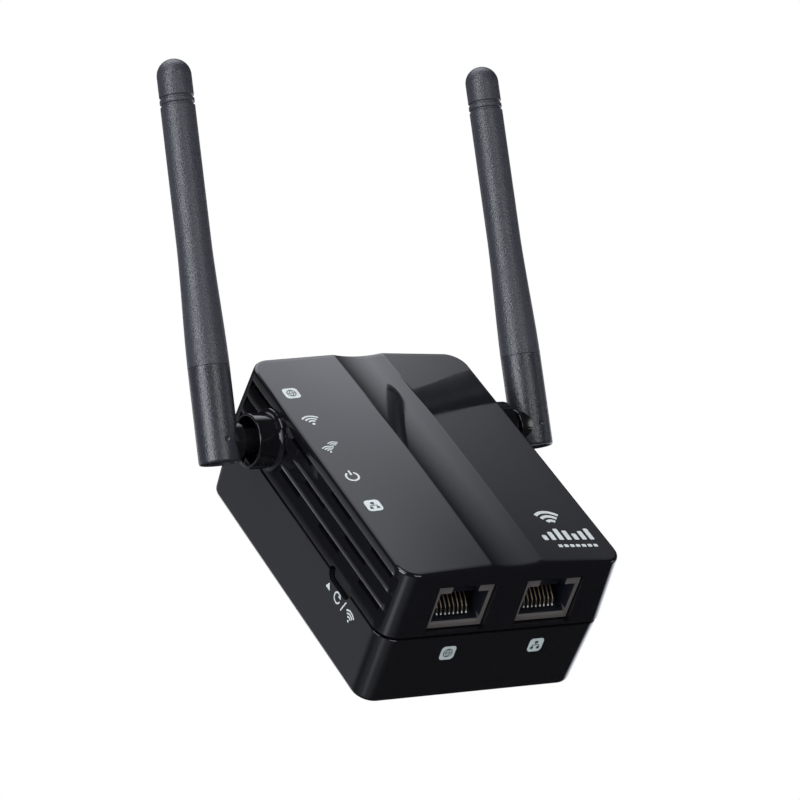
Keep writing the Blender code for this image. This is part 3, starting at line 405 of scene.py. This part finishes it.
def addBosses(cover):
    radius, cup = hinge["bossRadius"], hinge["cupRadius"]
    rim, floor, root = hinge["rimX"], hinge["floorX"], hinge["rootX"]
    outer, inner = hinge["outerRound"], hinge["innerRound"]
    wall = wallX(shell["partY"] - hinge["y"])
    profile = [(0.0, root), (radius + hinge["fillet"][0][0], root)]
    profile += [(radius + out, wall + up) for out, up in hinge["fillet"]]
    profile += arc((radius - outer, rim - outer), outer, 0.0, 90.0, 4)
    profile += arc((cup + inner, rim - inner), inner, 90.0, 180.0, 4)
    profile += [(cup, floor)] + [(out, floor + up) for out, up in hinge["bearingCollar"]] + [(0.0, floor)]
    place = Matrix.Translation((0.0, hinge["y"], hinge["z"]))
    for side in sides.values():
        boss = spun(profile)
        turn = Matrix.Rotation(side * math.pi / 2, 4, "Y")
        bmesh.ops.transform(boss, matrix=place @ turn, verts=boss.verts[:])
        cut(cover, boss, "UNION")
        xs = sorted((side * (floor - 0.5 * mm), side * (rim - 0.6 * mm)))
        (lowY, highY), (lowZ, highZ) = hinge["stopY"], hinge["stopZ"]
        stop = box((xs[0], hinge["y"] + lowY, hinge["z"] + lowZ),
                   (xs[1], hinge["y"] + highY, hinge["z"] + highZ))
        bevel(stop, stop.edges[:], 0.2 * mm, 2)
        cut(cover, stop, "UNION")
        start = (side * hinge["bearingX"], hinge["y"], hinge["z"])
        end = (side * (rim + 3.0 * mm), hinge["y"], hinge["z"])
        cut(cover, cylinder(hinge["bearingRadius"], start, end, 96))


def arc(centre, radius, startDegrees, endDegrees, steps):
    points = []
    for step in range(steps + 1):
        angle = math.radians(startDegrees + (endDegrees - startDegrees) * step / steps)
        points.append((centre[0] + radius * math.cos(angle), centre[1] + radius * math.sin(angle)))
    return points


def cutSocketMouths(cover):
    for side in sides.values():
        middle = side * socket["x"]
        half = socket["width"] / 2
        front = -shell["halfLength"] - shell["flare"]
        mouth = box((middle - half, above(socket["high"]), front - 1.0 * mm),
                    (middle + half, above(socket["low"]), front + 4.0 * mm))
        cut(cover, mouth)


def pill(grow, x0, x1):
    # the button's outline, grown all round, between two X planes
    halfLength = button["length"] / 2 + grow
    halfHeight = button["height"] / 2 + grow
    bm = box((x0, button["y"] - halfHeight, button["z"] - halfLength),
             (x1, button["y"] + halfHeight, button["z"] + halfLength))
    edges = [e for e in bm.edges if abs(e.verts[0].co.x - e.verts[1].co.x) > 0.1 * mm]
    bevel(bm, edges, halfHeight * 0.98, 10)
    return bm


def caseForm(inset, openY):
    halfX = shell["halfWidth"] + shell["flare"] - shell["stepIn"] - inset
    halfZ = shell["halfLength"] + shell["flare"] - shell["stepIn"] - inset
    bm = roundedBlock(halfX, halfZ, openY, -inset, shell["corner"] - inset, 12)
    if inset == 0.0:
        bevel(bm, rimEdges(bm, 0.0), shell["rearEdge"], 5)
        bevel(bm, rimEdges(bm, openY), shell["chamfer"], 3)
    for vertex in bm.verts:
        taper = shell["rearTaper"] * (1.0 + vertex.co.y / -shell["partY"])
        vertex.co.x *= 1.0 - taper / halfX
        vertex.co.z *= 1.0 - taper / halfZ
    return bm


def makeLip():
    halfX = shell["halfWidth"] + shell["flare"] - shell["stepIn"] - shell["caseWall"] + rear["lipPlay"]
    halfZ = shell["halfLength"] + shell["flare"] - shell["stepIn"] - shell["caseWall"] + rear["lipPlay"]
    outerCorner, innerCorner = rear["lipCorner"]
    wall, past = rear["lipWall"], above(2 * shell["overrun"])
    form = roundedBlock(halfX, halfZ, above(rear["lipTop"]), above(rear["lipFoot"]), outerCorner, 8)
    lip = newPiece("lip", form, "case_gloss", "housing")
    cut(lip, roundedBlock(halfX - wall, halfZ - wall, past, above(-2 * shell["overrun"]), innerCorner, 8))
    # the lip is left open behind the sockets
    opening = rear["lipOpening"]
    front, back = rear["lipOpeningZ"]
    cut(lip, box((-opening, past, front), (opening, above(-shell["caseDrop"]), back)))
    bm = bmesh.new()
    bm.from_mesh(lip.data)
    bpy.data.objects.remove(lip)
    return bm


def makeCase():
    case = newPiece("rear_case_shell", caseForm(0.0, above(-shell["caseDrop"])), "case_gloss", "housing",
                    ["rear_case"])
    cut(case, caseForm(shell["caseWall"], above(shell["overrun"])))
    cut(case, makeLip(), "UNION")
    cut(case, pill(0.0, *button["hole"]))
    past = shell["overrun"]
    halfX, halfZ = rear["slotHalf"]
    for x in (-rear["bladeX"], rear["bladeX"]):
        cut(case, box((x - halfX, -rear["slotDepth"], -halfZ), (x + halfX, past, halfZ)))
    for x in (-rear["screwX"], rear["screwX"]):
        for z in (-rear["screwZ"], rear["screwZ"]):
            cut(case, cylinder(rear["wellRadius"], (x, past / 2, z), (x, -rear["wellDepth"], z), 48))
    smooth(case, 30.0, weighted=True)


makeCover()
print("cover made")
makeCase()
print("case made")


antenna = {
    "lean": {"left": 44.0, "right": 43.0},   # degrees from straight up, towards the room
    "top": 81.85 * mm, "foot": 4.6 * mm, "baseRadius": 4.42 * mm, "tipRadius": 3.70 * mm,
    "seam": 15.8 * mm, "flareTop": 42.0 * mm, "spigot": 2.5 * mm, "spigotTop": 24.0 * mm,
    "bore": 2.8 * mm, "boreTop": 76.0 * mm, "neck": 2.7 * mm, "neckEnd": 23.4 * mm,
    "collar": 4.0 * mm, "collarEnd": 34.5 * mm, "collarRound": 0.3 * mm, "dimple": 0.7 * mm,
    "footRecess": 0.45 * mm, "footRim": 0.1 * mm, "footRound": 0.5 * mm,
    "rings": (8.5 * mm, 10.0 * mm),
    # height from a ring's middle and depth under the sleeve's face
    "ringProfile": ((0.38 * mm, 0.0), (0.30 * mm, 0.08 * mm), (0.18 * mm, 0.34 * mm),
                    (-0.18 * mm, 0.34 * mm), (-0.30 * mm, 0.08 * mm), (-0.38 * mm, 0.0)),
}


def sleeveRadius(height):
    part = max(0.0, 1.0 - (height - antenna["seam"]) / (antenna["flareTop"] - antenna["seam"]))
    blend = part * part * (3.0 - 2.0 * part)
    spread = antenna["baseRadius"] - antenna["tipRadius"]
    return antenna["tipRadius"] + spread * (0.35 * part + 0.65 * blend)


def placeAntenna(bm, name):
    side = sides[name]
    lean = math.radians(antenna["lean"][name])
    place = Matrix.Translation((side * hinge["x"], hinge["y"], hinge["z"])) @ Matrix.Rotation(lean, 4, "X")
    bmesh.ops.transform(bm, matrix=place, verts=bm.verts[:])
    return bm


def makeAntennaBase(name):
    radius, foot, seam = antenna["baseRadius"], antenna["foot"], antenna["seam"]
    recess, rim, soft = antenna["footRecess"], antenna["footRim"], antenna["footRound"]
    inside = radius - soft - 0.35 * mm
    profile = [(0.0, -foot + recess), (inside - rim, -foot + recess), (inside, -foot + rim)]
    profile += arc((inside + rim, -foot + rim), rim, 180.0, 270.0, 3)
    profile += arc((radius - soft, -foot + soft), soft, -90.0, 0.0, 6)
    profile += [(radius, seam - 0.08 * mm), (radius - 0.03 * mm, seam - 0.05 * mm),
                (antenna["spigot"], seam - 0.05 * mm),
                (antenna["spigot"], antenna["spigotTop"]), (0.0, antenna["spigotTop"])]
    base = newPiece(name + "_antenna_base_body", placeAntenna(spun(profile), name), "antenna_base",
                    name + "_antenna", [name + "_antenna_base"])
    cut(base, placeAntenna(neckForm(-sides[name]), name), "UNION")
    dimple = bmesh.new()
    bmesh.ops.create_uvsphere(dimple, u_segments=32, v_segments=16, radius=antenna["dimple"],
                              matrix=Matrix.Translation((0.0, -radius - 0.25 * mm, 0.0)))
    cut(base, placeAntenna(dimple, name))
    # the collar and neck keep the mould's gloss
    base.data.materials.append(finish("antenna_neck"))
    for face in base.data.polygons:
        off = math.hypot(face.center.y - hinge["y"], face.center.z - hinge["z"])
        if off < antenna["collar"] + 0.02 * mm and abs(face.center.x) < hinge["x"] - 2.7 * mm:
            face.material_index = 1
    smooth(base, 35.0, weighted=True)


def neckForm(inward):
    # the collar and the neck, from inside the base to the bearing
    collar, neck, soft = antenna["collar"], antenna["neck"], antenna["collarRound"]
    step = hinge["x"] - antenna["collarEnd"]
    end = hinge["x"] - antenna["neckEnd"]
    profile = [(0.0, 1.5 * mm), (collar, 1.5 * mm)]
    profile += arc((collar - soft, step - soft), soft, 0.0, 90.0, 4)
    profile += [(neck + 0.1 * mm, step), (neck, step + 0.1 * mm), (neck, end), (0.0, end)]
    bm = spun(profile)
    bmesh.ops.transform(bm, matrix=Matrix.Rotation(inward * math.pi / 2, 4, "Y"), verts=bm.verts[:])
    return bm


def makeAntennaSleeve(name):
    tip, top = antenna["tipRadius"], antenna["top"]
    profile = arc((0.0, top - tip), tip, 90.0, 0.0, 16)
    profile[0] = (0.0, top)
    for below in antenna["rings"]:
        height = top - below
        profile += [(tip - depth, height + shift) for shift, depth in antenna["ringProfile"]]
    steps = 24
    for step in range(steps + 1):
        height = antenna["flareTop"] + (antenna["seam"] + 0.05 * mm - antenna["flareTop"]) * step / steps
        profile.append((sleeveRadius(height), height))
    seam = antenna["seam"]
    profile += [(antenna["baseRadius"] - 0.05 * mm, seam), (antenna["bore"], seam),
                (antenna["bore"], antenna["boreTop"]), (0.0, antenna["boreTop"])]
    sleeve = newPiece(name + "_antenna_sleeve_body", placeAntenna(spun(profile), name), "antenna_sleeve",
                      name + "_antenna", [name + "_antenna_sleeve"])
    smooth(sleeve, 35.0)


for name in sides:
    makeAntennaBase(name)
    makeAntennaSleeve(name)
print("antennas made")


def makeJack(name):
    x = sides[name] * socket["x"]
    bodyFront = -shell["halfLength"] + shell["coverWall"] + shell["gap"]
    half = socket["jackWidth"] / 2
    gap = shell["gap"]
    jack = newPiece("ethernet_jack_" + name + "_body",
                    box((x - half, above(gap + socket["jackHeight"]), bodyFront),
                        (x + half, above(gap), bodyFront + socket["jackLength"])),
                    "jack_plastic", "housing", ["ethernet_jack_" + name])
    half = socket["width"] / 2 - gap * 0.6
    front = socket["front"]
    nose = box((x - half, above(socket["high"] - gap), front),
               (x + half, above(socket["low"] + gap), bodyFront + 2.0 * mm))
    bevel(nose, frontEdges(nose, front), socket["noseRound"], 2)
    cut(jack, nose, "UNION")
    half = socket["plugWidth"] / 2
    back = front + socket["plugDepth"]
    low, high = socket["plugLow"], socket["plugHigh"]
    cut(jack, box((x - half, above(high), front - 1.0 * mm), (x + half, above(low), back)))
    # the mouth's lower edge is chamfered to lead the plug in
    over, under, length = socket["lead"]
    ramp = box((x - half, above(low + over), front - 1.0 * mm),
               (x + half, above(low - under), front + 0.001 * mm))
    for vertex in ramp.verts:
        if vertex.co.z > front and vertex.co.y < above(low):
            vertex.co.z = front + length
    cut(jack, ramp)
    latch = socket["latchWidth"] / 2
    cut(jack, box((x - latch, above(socket["high"] + 0.4 * mm), front - 1.0 * mm),
                  (x + latch, above(high - 1.0 * mm), back)))
    # the insert whose front edge the wires come out of
    low, high, depth = socket["insert"]
    insert = box((x - half - 0.2 * mm, above(high), depth),
                 (x + half + 0.2 * mm, above(low), back + 0.3 * mm))
    bevel(insert, frontEdges(insert, depth), 0.2 * mm, 2)
    cut(jack, insert, "UNION")
    paintCavityShade(jack, x)
    smooth(jack, 30.0, weighted=True)


def frontEdges(bm, z):
    return [e for e in bm.edges if all(v.co.z < z + 0.1 * mm for v in e.verts)]


def paintCavityShade(jack, x):
    # the walls of the plug cavity get a darker copy of the jack's plastic than the frame round its mouth:
    # painted shade for the recess
    jack.data.materials.append(finish("jack_inside_painted_shade"))
    front = socket["front"]
    bottom, top = above(socket["plugLow"] - 0.1 * mm), above(socket["high"] + 0.5 * mm)
    for face in jack.data.polygons:
        deep = front + 0.9 * mm < face.center.z < front + socket["plugDepth"] + 0.5 * mm
        within = abs(face.center.x - x) < socket["plugWidth"] / 2 + 0.01 * mm
        if deep and within and top < face.center.y < bottom:
            face.material_index = 1


contact = {
    "bar": (7.6 * mm, 9.8 * mm), "barDepth": 1.6 * mm, "barHalf": 4.6 * mm,
    # height above the parting plane, Z and radius along one wire, from its tip to the bar
    "path": ((3.40, -34.90, 0.08), (3.45, -34.88, 0.18), (3.60, -34.82, 0.26), (3.76, -34.76, 0.18),
             (3.92, -34.70, 0.13), (4.72, -34.36, 0.13), (4.92, -34.22, 0.15), (5.10, -34.00, 0.16),
             (7.90, -29.85, 0.16), (8.20, -29.30, 0.16), (8.72, -24.20, 0.16)),
    "tipRings": 4,
}


def sweep(bm, x, path, segments=12):
    # a round wire along a path in the YZ plane, closed at both ends
    points = [(Vector((x, above(height * mm), z * mm)), radius * mm) for height, z, radius in path]
    sideways = Vector((1.0, 0.0, 0.0))
    angles = [math.tau * step / segments for step in range(segments)]
    rings = []
    for index, (point, radius) in enumerate(points):
        before = points[max(0, index - 1)][0]
        after = points[min(len(points) - 1, index + 1)][0]
        across = (after - before).normalized().cross(sideways)
        rings.append([bm.verts.new(point + radius * (math.cos(a) * sideways + math.sin(a) * across))
                      for a in angles])
    faces = [bm.faces.new(rings[0]), bm.faces.new(rings[-1])]
    for first, second in zip(rings, rings[1:]):
        for step in range(segments):
            other = (step + 1) % segments
            faces.append(bm.faces.new((first[step], first[other], second[other], second[step])))
    bmesh.ops.recalc_face_normals(bm, faces=faces)


def makeContacts(name):
    x = sides[name] * socket["x"]
    back = socket["front"] + socket["plugDepth"] - shell["gap"]
    low, high = contact["bar"]
    half = contact["barHalf"]
    bm = box((x - half, above(high), back - contact["barDepth"]), (x + half, above(low), back))
    bevel(bm, bm.edges[:], 0.15 * mm, 2)
    for index in range(socket["wires"]):
        offset = (index - (socket["wires"] - 1) / 2) * socket["pitch"]
        sweep(bm, x + offset, contact["path"])
    # the wires take the dimmed gold, painted shade
    contacts = newPiece("jack_contacts_" + name + "_wires", bm, "contact_wire_painted_shade", "housing",
                        ["jack_contacts_" + name])
    # the wire ends get a near-white metal so they show as bright dots: a painted glint
    contacts.data.materials.append(finish("contact_tip_painted_glint"))
    end = contact["path"][contact["tipRings"]][0] * mm
    for face in contacts.data.polygons:
        if face.center.y > above(end):
            face.material_index = 1
    smooth(contacts, 40.0)


def makeButton():
    outer = -shell["halfWidth"] + button["sunk"]
    inner = -shell["halfWidth"] + button["depth"]
    bm = pill(-shell["gap"] * 0.6, outer, inner)
    bevel(bm, [e for e in bm.edges if all(v.co.x < outer + 0.01 * mm for v in e.verts)], button["round"], 4)
    cap = newPiece("reset_button_cap", bm, "button_black", "reset_button", ["reset_button"])
    cut(cap, pill(button["flange"], *button["flangeX"]), "UNION")
    smooth(cap, 35.0)


for name in sides:
    makeJack(name)
    makeContacts(name)
makeButton()
print("sockets and button made")


marks = {
    "lift": 0.03 * mm, "ink": 0.03 * mm,
    "columnX": -22.4 * mm,
    "column": {"globe": 24.4 * mm, "signal": 14.8 * mm, "twin_signal": 5.4 * mm, "power": -4.5 * mm,
               "network": -14.3 * mm},
    "mainX": 16.9 * mm, "mainZ": -26.4 * mm,
    "socketX": (-9.8 * mm, 11.8 * mm), "socketY": -12.4 * mm, "sideY": -13.5 * mm, "sideZ": -15.2 * mm,
    "badge": 3.5, "badgeCorner": 0.9,               # drawn in millimetres, as every symbol is
}


def addBar(bm, start, end, width):
    start, end = Vector((*start, 0.0)), Vector((*end, 0.0))
    along = end - start
    turn = Matrix.Rotation(math.atan2(along.y, along.x), 4, "Z")
    size = Matrix.Diagonal((along.length, width, 1.0, 1.0))
    return bmesh.ops.create_grid(bm, x_segments=1, y_segments=1, size=0.5,
                                 matrix=Matrix.Translation((start + end) / 2) @ turn @ size)["verts"]


def addPlate(bm, centre, width, height, corner):
    x, y = centre
    verts = addBar(bm, (x - width / 2, y), (x + width / 2, y), height)
    bmesh.ops.bevel(bm, geom=verts, offset=corner, segments=5, profile=0.5, affect="VERTICES", material=-1)


def addArc(bm, centre, radius, width, start, end):
    angle = math.radians(start)
    ends = [bm.verts.new((centre[0] + r * math.cos(angle), centre[1] + r * math.sin(angle), 0.0))
            for r in (radius - width / 2, radius + width / 2)]
    edge = bm.edges.new(ends)
    bmesh.ops.spin(bm, geom=ends + [edge], cent=(*centre, 0.0), axis=(0.0, 0.0, 1.0),
                   angle=math.radians(end - start), steps=28, use_merge=abs(end - start) >= 360.0)


def addDot(bm, centre, radius, segments=24):
    bmesh.ops.create_circle(bm, cap_ends=True, segments=segments, radius=radius,
                            matrix=Matrix.Translation((*centre, 0.0)))


def drawGlobe(bm):
    addArc(bm, (0.0, 0.0), 1.0, 0.2, 0.0, 360.0)
    addArc(bm, (0.75, 0.0), 1.15, 0.16, 125.0, 235.0)
    addArc(bm, (-0.75, 0.0), 1.15, 0.16, -55.0, 55.0)
    addBar(bm, (-0.95, 0.0), (0.95, 0.0), 0.16)


def drawNetwork(bm):
    addPlate(bm, (0.0, 0.72), 0.8, 0.6, 0.1)
    for side in (-1, 1):
        addPlate(bm, (side * 0.75, -0.72), 0.7, 0.6, 0.1)
        addBar(bm, (side * 0.75, 0.0), (side * 0.75, -0.5), 0.16)
    addBar(bm, (-0.83, 0.0), (0.83, 0.0), 0.16)
    addBar(bm, (0.0, 0.5), (0.0, 0.08), 0.16)


def drawSignal(bm, centre=(0.0, 0.0), size=1.0, dot=True):
    x, y = centre
    foot = (x, y - 1.3 * size)
    if dot:
        addDot(bm, foot, 0.34 * size)
    for radius in (1.05, 1.85, 2.65):
        addArc(bm, foot, radius * size, 0.42 * size, 45.0, 135.0)


def drawTwinSignal(bm):
    drawSignal(bm, (-0.75, -0.6), 0.72)
    drawSignal(bm, (0.95, 0.75), 0.62, dot=False)


def drawPower(bm):
    addArc(bm, (0.0, -0.1), 1.35, 0.42, 122.0, 418.0)
    addBar(bm, (0.0, 0.35), (0.0, 1.85), 0.42)


def drawMain(bm):
    # signal arcs over a row of level bars and a dashed rule
    for radius in (1.5, 2.9, 4.3):
        addArc(bm, (-1.3, 1.5), radius, 0.8, 48.0, 132.0)
    heights = (1.6, 2.6, 3.6, 3.0, 2.0, 2.8, 3.6)
    for index, height in enumerate(heights):
        x = -5.9 + index * 1.95
        addPlate(bm, (x, -3.3 + height / 2), 1.15, height, 0.3)
    for index in range(7):
        x = -3.6 + index * 1.5
        addPlate(bm, (x, -5.2), 1.0, 0.85, 0.15)


def drawReset(bm):
    addDot(bm, (0.0, 0.0), 1.0, 3)
    addArc(bm, (4.0, 0.2), 1.15, 0.36, 60.0, 350.0)
    addDot(bm, (4.75, 0.95), 0.62, 3)
    addBar(bm, (6.3, -1.2), (7.3, 1.6), 0.3)
    drawSignal(bm, (9.8, -0.1), 0.85)


def onFace(x, z):
    return lambda u, v, w: Vector((x + u, faceY - roofRise(x + u, z + v) - marks["lift"] - w, z + v))


def caseWallAt(half, y):
    # how far the rear case's tapered wall stands from the middle
    return half + shell["flare"] - shell["stepIn"] - shell["rearTaper"] * (1.0 - y / shell["partY"])


def onFrontWall(x, y):
    wall = caseWallAt(shell["halfLength"], y)
    return lambda u, v, w: Vector((x + u, y - v, -wall - marks["lift"] - w))


def onLeftWall(y, z):
    wall = caseWallAt(shell["halfWidth"], y)
    return lambda u, v, w: Vector((-wall - marks["lift"] - w, y - v, z - u))


def printMark(name, draw, place, finishName="print_grey", base=0.0):
    # draws a symbol flat, gives it the ink's thickness and lays it on a wall
    bm = bmesh.new()
    draw(bm)
    bmesh.ops.recalc_face_normals(bm, faces=bm.faces[:])
    grown = bmesh.ops.extrude_face_region(bm, geom=bm.faces[:])["geom"]
    top = [item for item in grown if isinstance(item, bmesh.types.BMVert)]
    bmesh.ops.translate(bm, verts=top, vec=(0.0, 0.0, marks["ink"] / mm))
    bmesh.ops.recalc_face_normals(bm, faces=bm.faces[:])
    for vertex in bm.verts:
        u, v, w = vertex.co * mm
        vertex.co = place(u, v, w + base)
    bmesh.ops.recalc_face_normals(bm, faces=bm.faces[:])
    newPiece("print_" + name, bm, finishName, "housing")


def printBadge(name, draw, place, finishName="print_grey"):
    size = marks["badge"]
    printMark(name + "_badge", lambda bm: addPlate(bm, (0.0, 0.0), size, size, marks["badgeCorner"]), place,
              finishName)
    printMark(name + "_symbol", draw, place, "print_dark", marks["ink"])


def makeMarks():
    column = {name: onFace(marks["columnX"], z) for name, z in marks["column"].items()}
    printBadge("globe", drawGlobe, column["globe"])
    printBadge("network", drawNetwork, column["network"])
    printMark("signal", drawSignal, column["signal"])
    printMark("twin_signal", drawTwinSignal, column["twin_signal"])
    printMark("power", drawPower, column["power"])
    printMark("main", drawMain, onFace(marks["mainX"], marks["mainZ"]))
    left, right = marks["socketX"]
    # the front-wall badges take the dimmed grey print, painted shade
    printBadge("socket_globe", drawGlobe, onFrontWall(left, marks["socketY"]), "print_badge")
    printBadge("socket_network", drawNetwork, onFrontWall(right, marks["socketY"]), "print_badge")
    printMark("reset", drawReset, onLeftWall(marks["sideY"], marks["sideZ"]))


makeMarks()
print("symbols printed")


nodeFinish = {
    "blade_holder": "moulded_cream", "plug_blade": "blade_metal", "main_board": "board_green",
    "power_board": "board_brown", "light_guide": "clear_plastic", "switch_plunger": "moulded_cream",
    "reset_switch": "chip_black", "shield_can": "tinned_steel", "processor": "chip_black",
    "memory_chip": "chip_black", "crystal": "tinned_steel", "line_transformer": "chip_black",
    "transformer_core": "ferrite", "transformer_winding": "winding_tape",
    "input_capacitor": "capacitor_sleeve", "output_capacitor": "capacitor_sleeve",
    "bridge_rectifier": "chip_black", "power_controller": "chip_black", "fuse_resistor": "resistor_body",
    "safety_capacitor": "ceramic_blue", "board_link_header": "chip_black", "status_led": "led_lens",
    "case_screw": "screw_steel", "board_screw": "screw_steel", "left_antenna_clip": "screw_steel",
    "right_antenna_clip": "screw_steel", "left_antenna_radiator": "contact_gold",
    "right_antenna_radiator": "contact_gold", "left_antenna_lead": "coax_jacket",
    "right_antenna_lead": "coax_jacket", "left_board_lead": "coax_jacket", "right_board_lead": "coax_jacket",
}
for name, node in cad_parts.items():
    for start, finishName in nodeFinish.items():
        if name.startswith(start):
            node.data.materials.clear()
            node.data.materials.append(finish(finishName))
print("finishes given to the inner pieces")


studio = {
    "floorZ": -0.85, "floorSize": 6.0, "floorColour": (0.80, 0.80, 0.79),
    "centre": (-14.8 * mm, -49.8 * mm, -1.3 * mm),
    "cameraPlace": (-370.65 * mm, -391.55 * mm, -450.08 * mm), "roll": 37.51, "lens": 147.78,
    "ambient": 0.03, "skyColour": (0.95, 0.97, 1.06),
    # direction, distance in metres, width and height in metres, radiance, colour
    "boxes": {"left_box": ((-0.96, -0.25, -0.15), 0.9, (0.50, 0.50), 8.5, (0.90, 0.94, 1.0)),
              "low_box": ((0.05, -0.76, -0.65), 0.9, (0.40, 0.40), 4.0, (1.0, 1.0, 1.0)),
              "fill_box": ((-0.60, -0.78, 0.15), 1.2, (0.70, 0.70), 4.2, (1.0, 1.0, 1.0))},
}


def makeFloor():
    bm = bmesh.new()
    bmesh.ops.create_grid(bm, x_segments=8, y_segments=8, size=studio["floorSize"] / 2,
                          matrix=Matrix.Translation((0.0, 0.0, studio["floorZ"])))
    mesh = bpy.data.meshes.new("floor")
    bm.to_mesh(mesh)
    bm.free()
    floor = bpy.data.objects.new("floor", mesh)
    bpy.context.scene.collection.objects.link(floor)
    material = bpy.data.materials.new("floor_pale")
    material.use_nodes = True
    shader = material.node_tree.nodes["Principled BSDF"]
    shader.inputs["Base Color"].default_value = (*studio["floorColour"], 1.0)
    shader.inputs["Roughness"].default_value = 0.8
    mesh.materials.append(material)
    floor.visible_glossy = False


def makeCamera():
    data = bpy.data.cameras.new("camera")
    data.lens = studio["lens"]
    data.clip_start = 0.01
    data.clip_end = 50.0
    camera = bpy.data.objects.new("camera", data)
    bpy.context.scene.collection.objects.link(camera)
    place = Vector(studio["cameraPlace"])
    aim = Vector(studio["centre"]) - place
    turn = aim.to_track_quat("-Z", "Y").to_matrix().to_4x4()
    roll = Matrix.Rotation(-math.radians(studio["roll"]), 4, "Z")
    camera.matrix_world = Matrix.Translation(place) @ turn @ roll
    bpy.context.scene.camera = camera


def softbox(name, direction, distance, size, radiance, colour):
    # an area light this far from the object, facing it; the radiance is what a mirror would show
    data = bpy.data.lights.new(name, "AREA")
    data.shape = "RECTANGLE"
    data.size, data.size_y = size
    data.energy = radiance * math.pi * size[0] * size[1]
    data.color = colour
    light = bpy.data.objects.new(name, data)
    bpy.context.scene.collection.objects.link(light)
    away = Vector(direction).normalized()
    light.matrix_world = (Matrix.Translation(Vector(studio["centre"]) + away * distance)
                          @ away.to_track_quat("Z", "Y").to_matrix().to_4x4())


def skyLobe(tree, way, direction, inner, outer, strength, power=1.0):
    # a soft round patch of light in the surroundings: full inside the inner angle, nothing past the outer
    dot = tree.nodes.new("ShaderNodeVectorMath")
    dot.operation = "DOT_PRODUCT"
    tree.links.new(way, dot.inputs[0])
    dot.inputs[1].default_value = Vector(direction).normalized()
    ramp = tree.nodes.new("ShaderNodeMapRange")
    ramp.inputs["From Min"].default_value = math.cos(math.radians(outer))
    ramp.inputs["From Max"].default_value = math.cos(math.radians(inner))
    tree.links.new(dot.outputs["Value"], ramp.inputs["Value"])
    raised = combined(tree, "POWER", ramp.outputs["Result"], power)
    return combined(tree, "MULTIPLY", raised, strength)


def combined(tree, operation, value, other):
    # the other value is a number or an output
    node = tree.nodes.new("ShaderNodeMath")
    node.operation = operation
    tree.links.new(value, node.inputs[0])
    if isinstance(other, float):
        node.inputs[1].default_value = other
    else:
        tree.links.new(other, node.inputs[1])
    return node.outputs["Value"]


def makeSurroundings():
    world = bpy.data.worlds.new("studio")
    bpy.context.scene.world = world
    world.use_nodes = True
    tree = world.node_tree
    tree.nodes.clear()
    way = tree.nodes.new("ShaderNodeTexCoord").outputs["Generated"]
    # what the face mirrors: bright high on the left, fading down and to the right
    card = skyLobe(tree, way, (0.05, -0.62, 0.78), 24.0, 46.0, 2.9, 1.5)
    fade = skyLobe(tree, way, (0.0, 0.0, 1.0), 41.4, 60.0, 1.0, 1.6)
    total = combined(tree, "MULTIPLY", card, fade)
    others = [
        skyLobe(tree, way, (0.05, 0.73, 0.68), 4.0, 14.0, 1.8),         # grazing light along the louvre lips
        skyLobe(tree, way, (0.92, -0.26, -0.28), 3.0, 15.0, 1.6),       # rims that face right
        skyLobe(tree, way, (0.84, 0.50, 0.20), 6.0, 26.0, 2.0),         # rim light behind on the right
        skyLobe(tree, way, (-0.40, 0.72, 0.57), 5.0, 31.0, 0.36, 1.5),  # left side of the rear case
        skyLobe(tree, way, (-0.67, 0.51, -0.53), 0.0, 15.0, 1.1, 1.5),  # front left corner, its bright core
        skyLobe(tree, way, (-0.67, 0.51, -0.53), 0.0, 50.0, 0.40, 1.6),  # and its soft edge
    ]
    for lobe in others:
        total = combined(tree, "ADD", total, lobe)
    lit = tree.nodes.new("ShaderNodeBackground")
    lit.inputs["Color"].default_value = (*studio["skyColour"], 1.0)
    tree.links.new(combined(tree, "ADD", total, studio["ambient"]), lit.inputs["Strength"])
    plain = tree.nodes.new("ShaderNodeBackground")
    plain.inputs["Color"].default_value = (1.0, 1.0, 1.0, 1.0)
    rays = tree.nodes.new("ShaderNodeLightPath")
    mix = tree.nodes.new("ShaderNodeMixShader")
    output = tree.nodes.new("ShaderNodeOutputWorld")
    tree.links.new(rays.outputs["Is Camera Ray"], mix.inputs["Fac"])
    tree.links.new(lit.outputs["Background"], mix.inputs[1])
    tree.links.new(plain.outputs["Background"], mix.inputs[2])
    tree.links.new(mix.outputs["Shader"], output.inputs["Surface"])


makeFloor()
makeCamera()
makeSurroundings()
for name, values in studio["boxes"].items():
    softbox(name, *values)
bpy.context.scene.view_settings.view_transform = "Standard"
print("studio made")
